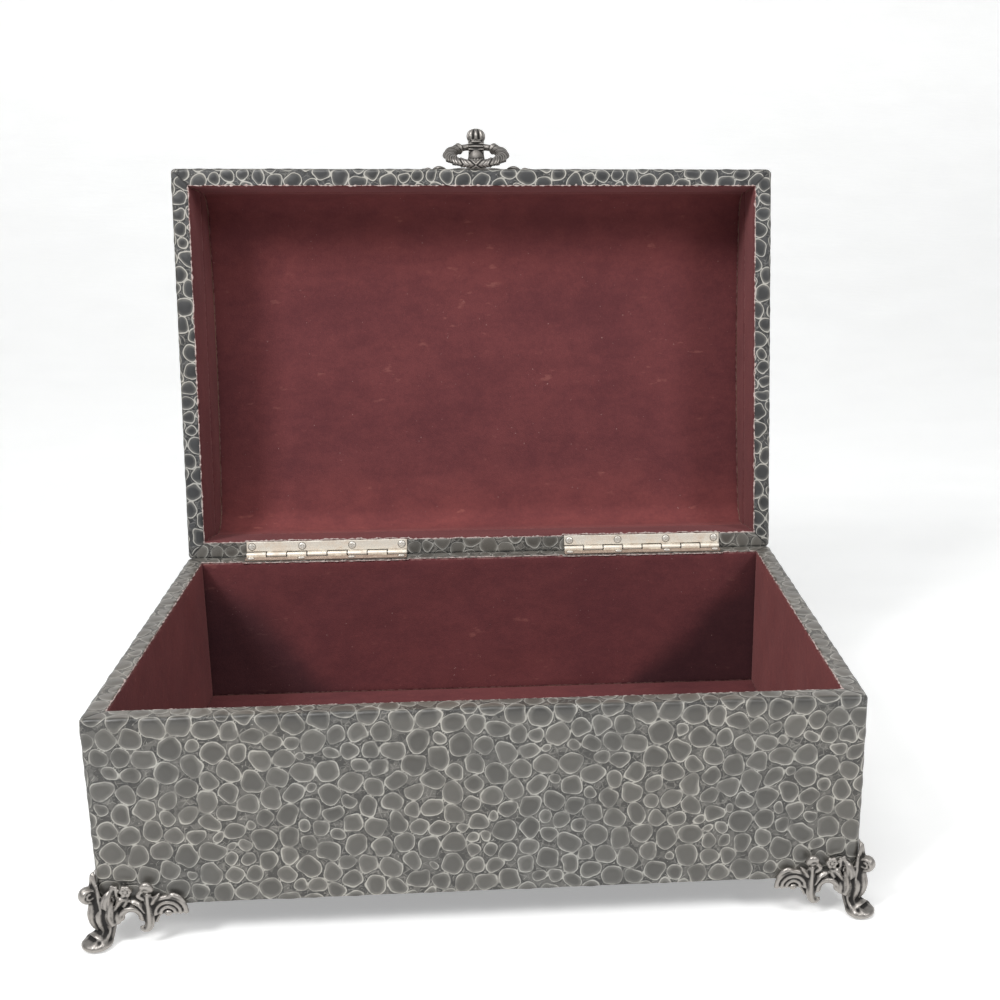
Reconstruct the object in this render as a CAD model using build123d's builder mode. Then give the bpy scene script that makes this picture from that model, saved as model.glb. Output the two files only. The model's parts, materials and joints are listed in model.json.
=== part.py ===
from build123d import *
from math import atan, cos, degrees, radians, sin, sqrt
import os

# Jewelry chest: a covered, lined box on four cast corner feet, with a domed lid on two
# knuckle hinges and a ring pull. Millimetres, +Z up, the front of the chest towards -Y.
# X is measured from the middle of the chest, Z from the floor, and Y from halfway between
# the front of the feet and the back of the open lid. Lid pieces are drawn closed and are
# turned about the hinge pins to the open stand of the lid.

# Box
body_width = 368.0
body_depth = 239.0
base_height = 96.0
board = 8.6
floor_board = 5.0
covering = 1.0
lining = 1.0
underside_sheet = 0.8
corner_radius = 3.0
rim_radius = 2.0
lining_drop = 0.8

# Lid
lid_side_height = 39.0
dome_rise = 22.0
haunch_radius = 15.0
lid_strip_height = 34.0
lining_seam = 0.4
end_seam_inset = 5.0
rim_gap = 3.2
open_angle = 98.9
open_edge_gap = 0.4

# Hinges
hinge_length = 100.0
hinge_left_middle = -98.0
hinge_right_middle = 101.0
knuckle_count = 8
knuckle_radius = 1.5
knuckle_gap = 0.15
hinge_pin_radius = 0.8
hinge_running_gap = 0.06
leaf_thickness = 0.8
leaf_width = 6.4
leaf_setback = 1.8
screw_spacing = 31.0
screws_per_leaf = 4
screw_shank_radius = 0.8
screw_head_radius = 1.6
screw_dome = 0.3
screw_length = 7.0
screw_hole_gap = 0.1

# Cast corner feet
foot_drop = 21.0
foot_flange = 4.5
seat_reach = 38.0
seat_thickness = 2.5
seat_corner_cut = 20.0
apron_length = 34.0
apron_rise = 4.0
apron_drop = 3.6
stalk_along = 24.7
stalk_width = 4.8
stalk_drop = 11.0
stalk_scroll_radius = 4.2
far_bud_rise = 10.3
far_bud_radius = 3.6
near_bud_along = 14.9
near_bud_rise = 9.5
near_bud_radius = 3.4
bud_neck = 3.4
middle_leaf_along = 9.3
middle_leaf_width = 8.0
middle_leaf_height = 12.0
corner_leaf_width = 9.0
corner_leaf_height = 18.0
end_leaf_along = 34.5
end_leaf_width = 16.0
end_leaf_rise = 6.0
end_leaf_drop = 9.0
volute_out = 4.4
volute_rise = 7.9
volute_radius = 4.3
knee_out = 5.0
knee_bulge = 6.4
knee_bulge_drop = 5.0
knee_in = 13.0
ankle_out = 1.0
ankle_in = 7.5
ankle_drop = 13.0
calf_hollow = 1.5
toe_radius = 7.5
toe_inset = -1.5
toe_height = 5.0
toe_round = 1.8
foot_pin_along = 24.0
foot_pin_radius = 1.2
foot_pin_length = 12.0
foot_pin_head_radius = 2.4
foot_pin_head = 0.8

# Ring pull
pull_height = 30.0
plate_half_length = 39.0
plate_lens_half = 8.5
plate_middle_half = 13.5
plate_middle_length = 19.0
plate_lobe_radius = 4.2
plate_lobe_out = 24.0
plate_lobe_up = 7.0
plate_thickness = 3.0
plate_edge = 0.8
plate_pin_out = 33.0
plate_pin_radius = 0.8
plate_pin_length = 9.0
plate_pin_head_radius = 1.7
plate_pin_head = 0.7
stem_radius = 2.0
stem_gap = 0.1
post_foot_radius = 6.0
post_waist_radius = 3.7
post_waist_height = 11.5
eye_radius = 4.2
eye_half_height = 3.5
eye_height = 17.0
head_radius = 5.2
head_height = 23.0
nut_across_flats = 7.0
nut_thickness = 3.2
washer_radius = 4.4
washer_thickness = 0.5
nut_recess_gap = 0.3
ring_radius = 17.0
ring_thick_radius = 3.0
ring_thin_radius = 2.0
ring_journal_radius = 1.9
ring_journal_half = 5.2
ring_running_gap = 0.07
ring_collar_radius = 3.4
ring_collar_turn = 8.0
ring_thin_turn = 42.0
ring_seat_gap = 0.3

# Levels, faces and the hinge axis, which stands in from the back by as much as brings the
# open lid's rounded edge just clear of the box's
wall = covering + board + lining
base_z = foot_drop
rim_z = base_z + base_height
lid_z = rim_z + rim_gap
spring_z = lid_z + lid_side_height
crown_half_turn = 2 * atan((dome_rise - haunch_radius) / (body_depth / 2 - wall - haunch_radius))
crown_radius = haunch_radius + (body_depth / 2 - wall - haunch_radius) / sin(crown_half_turn)
lean = radians(open_angle - 90)
foot_overhang = toe_radius - toe_inset
half_turn = radians(open_angle / 2)
edge_rise = (rim_gap / 2 + rim_radius) * cos(half_turn)
edge_inset = (edge_rise - rim_radius - open_edge_gap / 2) / sin(half_turn)
hinge_inset = rim_radius + edge_inset
crown_centre_rise = rim_gap / 2 + lid_side_height + dome_rise - crown_radius
hinge_to_middle = body_depth / 2 - hinge_inset
crown_back = hinge_to_middle * sin(lean) + crown_centre_rise * cos(lean)
open_reach = crown_back + crown_radius + wall
overall_depth = foot_overhang + body_depth - hinge_inset + open_reach
front_y = foot_overhang - overall_depth / 2
back_y = front_y + body_depth
middle_y = front_y + body_depth / 2
half_width = body_width / 2
hinge_y = back_y - hinge_inset
hinge_z = rim_z + rim_gap / 2
hinge_axis = Axis((0, hinge_y, hinge_z), (1, 0, 0))
floor_top_z = base_z + underside_sheet + floor_board
tray_z = floor_top_z + lining

# Where the screws, pins and the pull are
knuckle_pitch = hinge_length / knuckle_count
hinge_middles = (hinge_left_middle, hinge_right_middle)
screw_y = hinge_y - leaf_setback - leaf_width / 2
screw_xs = [
    middle + (number - (screws_per_leaf - 1) / 2) * screw_spacing
    for middle in hinge_middles
    for number in range(screws_per_leaf)
]
board_middle = covering + board / 2
foot_pin_spots = [
    (side * (half_width - along), middle_y + end * (body_depth / 2 - across))
    for side in (-1, 1)
    for end in (-1, 1)
    for along, across in ((board_middle, foot_pin_along), (foot_pin_along, board_middle))
]
pull_z = lid_z + pull_height
eye_y = front_y - eye_height
ring_centre_out = sqrt(ring_radius**2 - ring_journal_half**2)
ring_reach = ring_centre_out + ring_radius
edge_span = ring_thick_radius + rim_radius + ring_seat_gap


def ring_rest_tilt():
    """Angle between the lid's front and the ring, lying on the rounded edge of the rim."""
    to_edge = pull_height - rim_radius
    above_edge = eye_height + rim_radius
    distance = sqrt(to_edge**2 + above_edge**2)
    turn_to_edge = atan(above_edge / to_edge)
    cosine = (distance**2 + ring_reach**2 - edge_span**2) / (2 * distance * ring_reach)
    turn_to_arc = atan(sqrt(1 - cosine**2) / cosine)
    return turn_to_edge - turn_to_arc


ring_tilt = ring_rest_tilt()


def save(piece, name):
    """Label a piece and write it where it is drawn."""
    piece.label = name
    export_step(piece, f"parts/{name}.step")


def save_opened(piece, name):
    """Turn a lid piece about the hinge pins to the open stand of the lid, and write it."""
    save(piece.rotate(hinge_axis, -open_angle, transform=True), name)


os.makedirs("parts", exist_ok=True)


# Forms that several pieces share


def box_between(low, high):
    """Box from its low corner to its high corner."""
    with BuildPart() as block:
        size = [h - l for l, h in zip(low, high)]
        centre = tuple((l + h) / 2 for l, h in zip(low, high))
        with Locations(centre):
            Box(*size)
    return block.part


def body_block(inset, low, high):
    """Rounded block of the box, inset from its outer faces, without its hollow."""
    with BuildPart() as block:
        with BuildSketch(Plane.XY.offset(low)):
            with Locations((0, middle_y)):
                RectangleRounded(
                    body_width - 2 * inset, body_depth - 2 * inset, corner_radius - inset
                )
        extrude(amount=high - low)
        fillet(block.faces().sort_by(Axis.Z)[-1].edges(), rim_radius - inset)
    return block.part


def arch_section(inset, low, offset_x):
    """Lid section inset from the outer faces: straight sides under a three-centred arch."""
    half = body_depth / 2 - inset
    haunch = haunch_radius + wall - inset
    apex = spring_z + dome_rise + wall - inset
    touch_y = half - haunch + haunch * sin(crown_half_turn)
    touch_z = spring_z + haunch * cos(crown_half_turn)
    middle_turn = (radians(90) + crown_half_turn) / 2
    bend_y = half - haunch + haunch * sin(middle_turn)
    bend_z = spring_z + haunch * cos(middle_turn)
    with BuildSketch(Plane((offset_x, middle_y, 0), (0, 1, 0), (1, 0, 0))) as section:
        with BuildLine():
            Polyline((-half, spring_z), (-half, low), (half, low), (half, spring_z))
            ThreePointArc((half, spring_z), (bend_y, bend_z), (touch_y, touch_z))
            ThreePointArc((touch_y, touch_z), (0, apex), (-touch_y, touch_z))
            ThreePointArc((-touch_y, touch_z), (-bend_y, bend_z), (-half, spring_z))
        make_face()
    return section.sketch


def lid_block(inset, low):
    """Rounded block of the lid, inset from its outer faces, without its hollow."""
    with BuildPart() as block:
        extrude(arch_section(inset, low, -half_width + inset), amount=body_width - 2 * inset)
        ends = block.faces().sort_by(Axis.X)
        upper = [
            edge
            for end in (ends[0], ends[-1])
            for edge in end.edges()
            if edge.center().Z > low + rim_radius
        ]
        fillet(upper, corner_radius - inset)
        fillet(block.faces().sort_by(Axis.Z)[0].edges(), rim_radius - inset)
    return block.part


def lid_hollow(inset, low, end_inset):
    """Space under the arch, inset from the outer faces, between the two ends."""
    with BuildPart() as hollow:
        extrude(
            arch_section(inset, low, -half_width + end_inset),
            amount=body_width - 2 * end_inset,
        )
    return hollow.part


def slab(low_z, high_z):
    """Slice of space between two levels, wider than the chest."""
    return box_between(
        (-body_width, middle_y - body_depth, low_z), (body_width, middle_y + body_depth, high_z)
    )


def hinge_screw():
    """Countersunk screw with a low domed head, its head's rim at the origin."""
    sink = screw_head_radius - screw_shank_radius
    with BuildPart() as screw:
        with BuildSketch(Plane.XZ):
            with BuildLine():
                Polyline(
                    (screw_head_radius, 0),
                    (screw_shank_radius, -sink),
                    (screw_shank_radius, -screw_length + sink),
                    (0, -screw_length),
                    (0, screw_dome),
                )
                ThreePointArc(
                    (0, screw_dome),
                    (screw_head_radius / 2, screw_dome * 3 / 4),
                    (screw_head_radius, 0),
                )
            make_face()
        revolve(axis=Axis.Z)
    return screw.part


def screw_pilot(spots):
    """Holes that the shanks and points of the hinge screws fill."""
    sink = screw_head_radius - screw_shank_radius
    with BuildPart() as pilots:
        with Locations(*spots):
            Cylinder(
                screw_shank_radius,
                screw_length - sink,
                align=(Align.CENTER, Align.CENTER, Align.MAX),
            )
        with Locations(*[spot * Location((0, 0, -screw_length)) for spot in spots]):
            Cone(0, screw_shank_radius, sink, align=(Align.CENTER, Align.CENTER, Align.MIN))
    return pilots.part


# Box boards, sheets and linings

body_core = body_block(covering, base_z, rim_z - covering)
board_inset = covering + board
inner_low_x = -half_width + board_inset
inner_low_y = front_y + board_inset
inner_high_y = back_y - board_inset
board_low_z = base_z + underside_sheet
beyond = body_width
base_screw_spots = [Location((x, screw_y, rim_z + leaf_thickness)) for x in screw_xs]
foot_pin_top = base_z - seat_thickness + foot_pin_length


def foot_pin_holes():
    """Holes that the foot pins fill, from under the seats up into the boards."""
    with BuildPart() as holes:
        with Locations(*[(x, y, base_z - seat_thickness) for x, y in foot_pin_spots]):
            Cylinder(
                foot_pin_radius,
                foot_pin_length,
                align=(Align.CENTER, Align.CENTER, Align.MIN),
            )
    return holes.part


pin_holes = foot_pin_holes()
base_pilots = screw_pilot(base_screw_spots)

with BuildPart() as base_front_board:
    add(body_core)
    add(
        box_between((-beyond, front_y, board_low_z), (beyond, inner_low_y, rim_z)),
        mode=Mode.INTERSECT,
    )
    add(pin_holes, mode=Mode.SUBTRACT)
save(base_front_board.part, "base_front_board")

with BuildPart() as base_back_board:
    add(body_core)
    add(
        box_between((-beyond, inner_high_y, board_low_z), (beyond, back_y, rim_z)),
        mode=Mode.INTERSECT,
    )
    add(pin_holes, mode=Mode.SUBTRACT)
    add(base_pilots, mode=Mode.SUBTRACT)
save(base_back_board.part, "base_back_board")

for side_name, side in (("left", -1), ("right", 1)):
    side_low = (min(side * half_width, -side * inner_low_x), inner_low_y, board_low_z)
    side_high = (max(side * half_width, -side * inner_low_x), inner_high_y, rim_z)
    with BuildPart() as base_side_board:
        add(body_core)
        add(box_between(side_low, side_high), mode=Mode.INTERSECT)
        add(pin_holes, mode=Mode.SUBTRACT)
    save(base_side_board.part, f"base_{side_name}_board")

with BuildPart() as base_floor_board:
    add(
        box_between(
            (inner_low_x, inner_low_y, board_low_z), (-inner_low_x, inner_high_y, floor_top_z)
        )
    )
save(base_floor_board.part, "base_floor_board")

with BuildPart() as base_underside_sheet:
    add(body_core)
    add(slab(base_z, board_low_z), mode=Mode.INTERSECT)
    add(pin_holes, mode=Mode.SUBTRACT)
save(base_underside_sheet.part, "base_underside_sheet")

with BuildPart() as base_covering:
    add(body_block(0, base_z, rim_z))
    add(body_core, mode=Mode.SUBTRACT)
    add(
        box_between((inner_low_x, inner_low_y, base_z), (-inner_low_x, inner_high_y, rim_z)),
        mode=Mode.SUBTRACT,
    )
    add(base_pilots, mode=Mode.SUBTRACT)
save(base_covering.part, "base_covering")

with BuildPart() as base_lining_floor:
    add(box_between((inner_low_x, inner_low_y, floor_top_z), (-inner_low_x, inner_high_y, tray_z)))
save(base_lining_floor.part, "base_lining_floor")

lining_top_z = rim_z - lining_drop


def wall_linings(low, high):
    """Lining cards of four walls: front and back full width, the ends between them."""
    front_inner = inner_low_y + lining
    back_inner = inner_high_y - lining
    end_inner = -inner_low_x - lining
    return {
        "front": box_between((inner_low_x, inner_low_y, low), (-inner_low_x, front_inner, high)),
        "back": box_between((inner_low_x, back_inner, low), (-inner_low_x, inner_high_y, high)),
        "left": box_between((inner_low_x, front_inner, low), (-end_inner, back_inner, high)),
        "right": box_between((end_inner, front_inner, low), (-inner_low_x, back_inner, high)),
    }


for wall_name, card in wall_linings(tray_z, lining_top_z).items():
    save(card, f"base_lining_{wall_name}")


# Cast feet


def foot_face(plane):
    """Outline of one cast face of a foot, from the corner inwards and up from the seat."""
    with BuildSketch(plane) as face:
        with Locations((apron_length / 2, (apron_rise - apron_drop) / 2)):
            Rectangle(apron_length, apron_rise + apron_drop)
        with Locations((end_leaf_along, (end_leaf_rise - end_leaf_drop) / 2)):
            Ellipse(end_leaf_width / 2, (end_leaf_rise + end_leaf_drop) / 2)
        with Locations((stalk_along, (far_bud_rise - stalk_drop) / 2)):
            Rectangle(stalk_width, far_bud_rise + stalk_drop)
        with Locations((stalk_along, far_bud_rise)):
            Circle(far_bud_radius)
        with Locations((stalk_along, -stalk_drop)):
            Circle(stalk_scroll_radius)
        with Locations((near_bud_along, near_bud_rise / 2)):
            Rectangle(bud_neck, near_bud_rise)
        with Locations((near_bud_along, near_bud_rise)):
            Circle(near_bud_radius)
        with Locations((middle_leaf_along, 0)):
            Ellipse(middle_leaf_width / 2, middle_leaf_height)
        with Locations((0, 0)):
            Ellipse(corner_leaf_width / 2, corner_leaf_height)
        with Locations((-volute_out, volute_rise)):
            Circle(volute_radius)
        with Locations((-volute_out / 2, (volute_rise - apron_drop) / 2)):
            Rectangle(volute_out, volute_rise + apron_drop)
    return face.sketch


def leg_side(plane):
    """Side of the corner leg: a bulging knee over a slim ankle."""
    toe_top = toe_height - foot_drop
    with BuildSketch(plane) as side:
        with BuildLine():
            ThreePointArc(
                (-knee_out, 0), (-knee_bulge, -knee_bulge_drop), (-ankle_out, -ankle_drop)
            )
            Polyline(
                (-ankle_out, -ankle_drop),
                (-ankle_out, toe_top - toe_round),
                (ankle_in, toe_top - toe_round),
                (ankle_in, -ankle_drop),
            )
            ThreePointArc(
                (ankle_in, -ankle_drop),
                ((ankle_in + knee_in) / 2 - calf_hollow, -ankle_drop / 2),
                (knee_in, 0),
            )
            Line((knee_in, 0), (-knee_out, 0))
        make_face()
    return side.sketch


foot_corner = (half_width, front_y, base_z)
foot_front = Plane(foot_corner, (-1, 0, 0), (0, 1, 0))
foot_side = Plane(foot_corner, (0, 1, 0), (1, 0, 0))
toe_spot = (half_width - toe_inset, front_y + toe_inset)
leg_depth = knee_bulge + knee_in

with BuildPart() as leg_column:
    extrude(leg_side(foot_front.offset(-knee_bulge)), amount=leg_depth)
    extrude(leg_side(foot_side.offset(knee_bulge)), amount=-leg_depth, mode=Mode.INTERSECT)

with BuildPart() as foot_toe:
    with Locations((*toe_spot, 0)):
        Cylinder(toe_radius, toe_height, align=(Align.CENTER, Align.CENTER, Align.MIN))
    fillet(foot_toe.faces().sort_by(Axis.Z)[-1].edges(), toe_round)

with BuildPart() as foot_seat:
    with BuildSketch(foot_front):
        with Locations((0, -seat_thickness)):
            Rectangle(seat_reach, seat_thickness, align=(Align.MIN, Align.MIN))
    extrude(amount=seat_reach)
    far_edge = foot_seat.edges().filter_by(Axis.Z).sort_by_distance(foot_corner)[-1]
    chamfer(far_edge, seat_corner_cut)

with BuildPart() as foot_front_right:
    extrude(foot_face(foot_front.offset(-foot_flange)), amount=foot_flange)
    extrude(foot_face(foot_side.offset(foot_flange)), amount=-foot_flange)
    add(foot_seat.part)
    add(leg_column.part)
    add(foot_toe.part)
    add(pin_holes, mode=Mode.SUBTRACT)
save(foot_front_right.part, "foot_front_right")

with BuildPart() as foot_front_left:
    mirror(foot_front_right.part, about=Plane.YZ)
save(foot_front_left.part, "foot_front_left")

across_middle = Plane((0, middle_y, 0), (1, 0, 0), (0, 1, 0))
for side_name, front_foot in (("right", foot_front_right), ("left", foot_front_left)):
    with BuildPart() as back_foot:
        mirror(front_foot.part, about=across_middle)
    save(back_foot.part, f"foot_back_{side_name}")

with BuildPart() as foot_pins:
    with Locations(*[(x, y, base_z - seat_thickness) for x, y in foot_pin_spots]):
        Cylinder(foot_pin_radius, foot_pin_length, align=(Align.CENTER, Align.CENTER, Align.MIN))
        Cylinder(foot_pin_head_radius, foot_pin_head, align=(Align.CENTER, Align.CENTER, Align.MAX))
save(foot_pins.part, "foot_pins")


# Hinges


def hinge_leaf(middle, seat, up, first_knuckle):
    """Flat leaf with every second knuckle; up is 1 on the box and -1 on the closed lid."""
    knuckle_xs = [
        middle - hinge_length / 2 + (number + 0.5) * knuckle_pitch
        for number in range(first_knuckle, knuckle_count, 2)
    ]
    knuckle_length = knuckle_pitch - 2 * knuckle_gap
    bore = hinge_pin_radius + (hinge_running_gap if up < 0 else 0)
    leaf_screw_xs = [x for x in screw_xs if abs(x - middle) < hinge_length / 2]
    with BuildPart() as leaf:
        with BuildSketch(Plane.XY.offset(seat)):
            with Locations((middle, screw_y)):
                Rectangle(hinge_length, leaf_width)
            with Locations(*[(x, hinge_y) for x in knuckle_xs]):
                Rectangle(knuckle_length, leaf_setback, align=(Align.CENTER, Align.MAX))
        extrude(amount=up * leaf_thickness)
        with Locations(*[Location((x, hinge_y, hinge_z), (0, 90, 0)) for x in knuckle_xs]):
            Cylinder(knuckle_radius, knuckle_length)
        with Locations(Location((middle, hinge_y, hinge_z), (0, 90, 0))):
            Cylinder(bore, hinge_length, mode=Mode.SUBTRACT)
        flip = 0 if up > 0 else 180
        outer = seat + up * leaf_thickness
        with Locations(*[Location((x, screw_y, outer), (flip, 0, 0)) for x in leaf_screw_xs]):
            CounterSinkHole(
                screw_shank_radius + screw_hole_gap,
                screw_head_radius + screw_hole_gap,
                leaf_thickness,
                90,
            )
    return leaf.part


for side_name, middle in zip(("left", "right"), hinge_middles):
    save(hinge_leaf(middle, rim_z, 1, 0), f"hinge_{side_name}_base_leaf")
    save_opened(hinge_leaf(middle, lid_z, -1, 1), f"hinge_{side_name}_lid_leaf")
    with BuildPart() as hinge_pin:
        with Locations(Location((middle, hinge_y, hinge_z), (0, 90, 0))):
            Cylinder(hinge_pin_radius, hinge_length)
    save(hinge_pin.part, f"hinge_{side_name}_pin")

one_screw = hinge_screw()
with BuildPart() as base_hinge_screws:
    with Locations(*base_screw_spots):
        add(one_screw)
save(base_hinge_screws.part, "base_hinge_screws")

lid_screw_spots = [Location((x, screw_y, lid_z - leaf_thickness), (180, 0, 0)) for x in screw_xs]
with BuildPart() as lid_hinge_screws:
    with Locations(*lid_screw_spots):
        add(one_screw)
save_opened(lid_hinge_screws.part, "lid_hinge_screws")
lid_pilots = screw_pilot(lid_screw_spots)


# Ring pull on the lid's front

outward = Plane((0, front_y, pull_z), (1, 0, 0), (0, -1, 0))
section_plane = Plane((0, front_y, pull_z), (1, 0, 0), (0, 0, -1))
outward_axis = Axis((0, front_y, pull_z), (0, -1, 0))
recess_depth = washer_thickness + nut_thickness + nut_recess_gap
recess_plane = outward.offset(-board_inset)
plate_pin_holes = [(x, 0) for x in (-plate_pin_out, plate_pin_out)]

with BuildPart() as stem_hole:
    with BuildSketch(recess_plane):
        Circle(stem_radius + stem_gap)
    extrude(amount=board_inset)
    with BuildSketch(recess_plane):
        Circle(washer_radius + nut_recess_gap)
    extrude(amount=recess_depth)
    with BuildSketch(outward.offset(plate_thickness - plate_pin_length)):
        with Locations(*plate_pin_holes):
            Circle(plate_pin_radius)
    extrude(amount=plate_pin_length)


def plate_face(level, inset):
    """Backplate outline at a level: a pointed lens, a middle oval and four lobes."""
    tip = plate_half_length - inset
    swell = plate_lens_half - inset
    with BuildSketch(outward.offset(level)) as outline:
        with BuildLine():
            ThreePointArc((-tip, 0), (0, swell), (tip, 0))
            ThreePointArc((tip, 0), (0, -swell), (-tip, 0))
        make_face()
        Ellipse(plate_middle_length - inset, plate_middle_half - inset)
        with Locations(
            *[(x * plate_lobe_out, z * plate_lobe_up) for x in (-1, 1) for z in (-1, 1)]
        ):
            Circle(plate_lobe_radius - inset)
    return outline.sketch


with BuildPart() as pull_backplate:
    extrude(plate_face(0, 0), amount=plate_thickness - plate_edge)
    extrude(plate_face(plate_thickness - plate_edge, plate_edge), amount=plate_edge)
    add(stem_hole.part, mode=Mode.SUBTRACT)
    with BuildSketch(outward):
        Circle(stem_radius)
    extrude(amount=plate_thickness, mode=Mode.SUBTRACT)
save_opened(pull_backplate.part, "pull_backplate")

with BuildPart() as pull_post:
    with BuildSketch(section_plane):
        with BuildLine():
            Polyline(
                (0, nut_recess_gap - board_inset),
                (stem_radius, nut_recess_gap - board_inset),
                (stem_radius, plate_thickness),
                (post_foot_radius, plate_thickness),
                (post_waist_radius, post_waist_height),
                (eye_radius, eye_height - eye_half_height),
                (eye_radius, eye_height + eye_half_height),
                (0, eye_height + eye_half_height),
                close=True,
            )
        make_face()
        with Locations((0, head_height)):
            Circle(head_radius)
        with Locations((0, head_height)):
            Rectangle(
                head_radius, 2 * head_radius, align=(Align.MAX, Align.CENTER), mode=Mode.SUBTRACT
            )
    revolve(axis=outward_axis)
    with Locations(Location((0, eye_y, pull_z), (0, 90, 0))):
        Cylinder(ring_journal_radius + ring_running_gap, 2 * head_radius, mode=Mode.SUBTRACT)
save_opened(pull_post.part, "pull_post")

with BuildPart() as pull_washer:
    with BuildSketch(recess_plane.offset(recess_depth - washer_thickness)):
        Circle(washer_radius)
        Circle(stem_radius + stem_gap, mode=Mode.SUBTRACT)
    extrude(amount=washer_thickness)
save_opened(pull_washer.part, "pull_washer")

with BuildPart() as pull_nut:
    with BuildSketch(recess_plane.offset(nut_recess_gap)):
        RegularPolygon(nut_across_flats / 2, 6, major_radius=False)
        Circle(stem_radius, mode=Mode.SUBTRACT)
    extrude(amount=nut_thickness)
save_opened(pull_nut.part, "pull_nut")

with BuildPart() as backplate_pins:
    with BuildSketch(outward.offset(plate_thickness - plate_pin_length)):
        with Locations(*plate_pin_holes):
            Circle(plate_pin_radius)
    extrude(amount=plate_pin_length)
    with BuildSketch(outward.offset(plate_thickness)):
        with Locations(*plate_pin_holes):
            Circle(plate_pin_head_radius)
    extrude(amount=plate_pin_head, taper=30)
save_opened(backplate_pins.part, "backplate_pins")

ring_plane = Plane((0, eye_y, pull_z), (1, 0, 0), (0, cos(ring_tilt), sin(ring_tilt)))
journal_turn = degrees(atan(ring_journal_half / ring_centre_out))
ring_top = 270.0


def ring_arc(from_turn, turn, radius):
    """Round stretch of the ring, its angles counted about the ring's own middle."""
    with BuildPart() as stretch:
        with BuildLine(ring_plane) as path:
            CenterArc((0, ring_centre_out), ring_radius, ring_top + from_turn, turn)
        with BuildSketch(Plane(path.line @ 0, z_dir=path.line % 0)):
            Circle(radius)
        sweep()
    return stretch.part


with BuildPart() as pull_ring:
    add(ring_arc(ring_thin_turn, 360 - 2 * ring_thin_turn, ring_thick_radius))
    for side in (-1, 1):
        add(ring_arc(side * journal_turn, side * (ring_thin_turn - journal_turn), ring_thin_radius))
        add(
            ring_arc(
                side * (ring_thin_turn - ring_collar_turn / 2),
                side * ring_collar_turn,
                ring_collar_radius,
            )
        )
        with Locations(ring_plane * Location((side * ring_journal_half, 0, 0))):
            Sphere(ring_thin_radius)
    with Locations(Location((0, eye_y, pull_z), (0, 90, 0))):
        Cylinder(ring_journal_radius, 2 * ring_journal_half)
save_opened(pull_ring.part, "pull_ring")


# Lid boards, coverings and linings

lid_core = lid_block(covering, lid_z + covering)
under_lid = lid_z - board
lid_shell_hollow = lid_hollow(board_inset, under_lid, 0)

with BuildPart() as lid_shell:
    add(lid_core)
    add(lid_shell_hollow, mode=Mode.SUBTRACT)

with BuildPart() as lid_front_rail:
    add(lid_shell.part)
    add(box_between((-beyond, front_y, lid_z), (beyond, middle_y, spring_z)), mode=Mode.INTERSECT)
    add(stem_hole.part, mode=Mode.SUBTRACT)
save_opened(lid_front_rail.part, "lid_front_rail")

with BuildPart() as lid_back_rail:
    add(lid_shell.part)
    add(box_between((-beyond, middle_y, lid_z), (beyond, back_y, spring_z)), mode=Mode.INTERSECT)
    add(lid_pilots, mode=Mode.SUBTRACT)
save_opened(lid_back_rail.part, "lid_back_rail")

with BuildPart() as lid_dome_panel:
    add(lid_shell.part)
    add(slab(spring_z, spring_z + body_depth), mode=Mode.INTERSECT)
save_opened(lid_dome_panel.part, "lid_dome_panel")

for side_name, low_x in (("left", -half_width + covering), ("right", half_width - board_inset)):
    with BuildPart() as lid_end_board:
        extrude(arch_section(board_inset, lid_z + covering, low_x), amount=board)
        add(lid_core, mode=Mode.INTERSECT)
    save_opened(lid_end_board.part, f"lid_{side_name}_end_board")

with BuildPart() as lid_wrap:
    add(lid_block(0, lid_z))
    add(lid_core, mode=Mode.SUBTRACT)
    add(lid_hollow(board_inset, under_lid, board_inset), mode=Mode.SUBTRACT)

seam_x = half_width - end_seam_inset
wrap_low = (front_y - board, under_lid)
wrap_high = (back_y + board, spring_z + body_depth)
with BuildPart() as lid_dome_covering:
    add(lid_wrap.part)
    add(box_between((-seam_x, *wrap_low), (seam_x, *wrap_high)), mode=Mode.INTERSECT)
    add(stem_hole.part, mode=Mode.SUBTRACT)
    add(lid_pilots, mode=Mode.SUBTRACT)
save_opened(lid_dome_covering.part, "lid_dome_covering")

for side_name, low_x, high_x in (("left", -beyond, -seam_x), ("right", seam_x, beyond)):
    with BuildPart() as lid_end_covering:
        add(lid_wrap.part)
        add(box_between((low_x, *wrap_low), (high_x, *wrap_high)), mode=Mode.INTERSECT)
    save_opened(lid_end_covering.part, f"lid_{side_name}_end_covering")

strip_top_z = lid_z + lid_strip_height
for wall_name, card in wall_linings(lid_z + lining_drop, strip_top_z).items():
    save_opened(card, f"lid_lining_{wall_name}")

dome_lining_z = strip_top_z + lining_seam
with BuildPart() as lid_lining_dome:
    add(lid_hollow(board_inset, dome_lining_z, wall))
    add(lid_hollow(wall, under_lid, board_inset), mode=Mode.SUBTRACT)
save_opened(lid_lining_dome.part, "lid_lining_dome")

for side_name, low_x in (("left", inner_low_x), ("right", -inner_low_x - lining)):
    with BuildPart() as lid_lining_end:
        extrude(arch_section(board_inset, dome_lining_z, low_x), amount=lining)
    save_opened(lid_lining_end.part, f"lid_lining_{side_name}_end")
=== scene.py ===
"""Looks of the jewelry chest: embossed covering, velvet linings, cast feet and ring pull."""

import json
import math

import bmesh
import bpy
import numpy as np
from mathutils import Matrix, Vector


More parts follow.
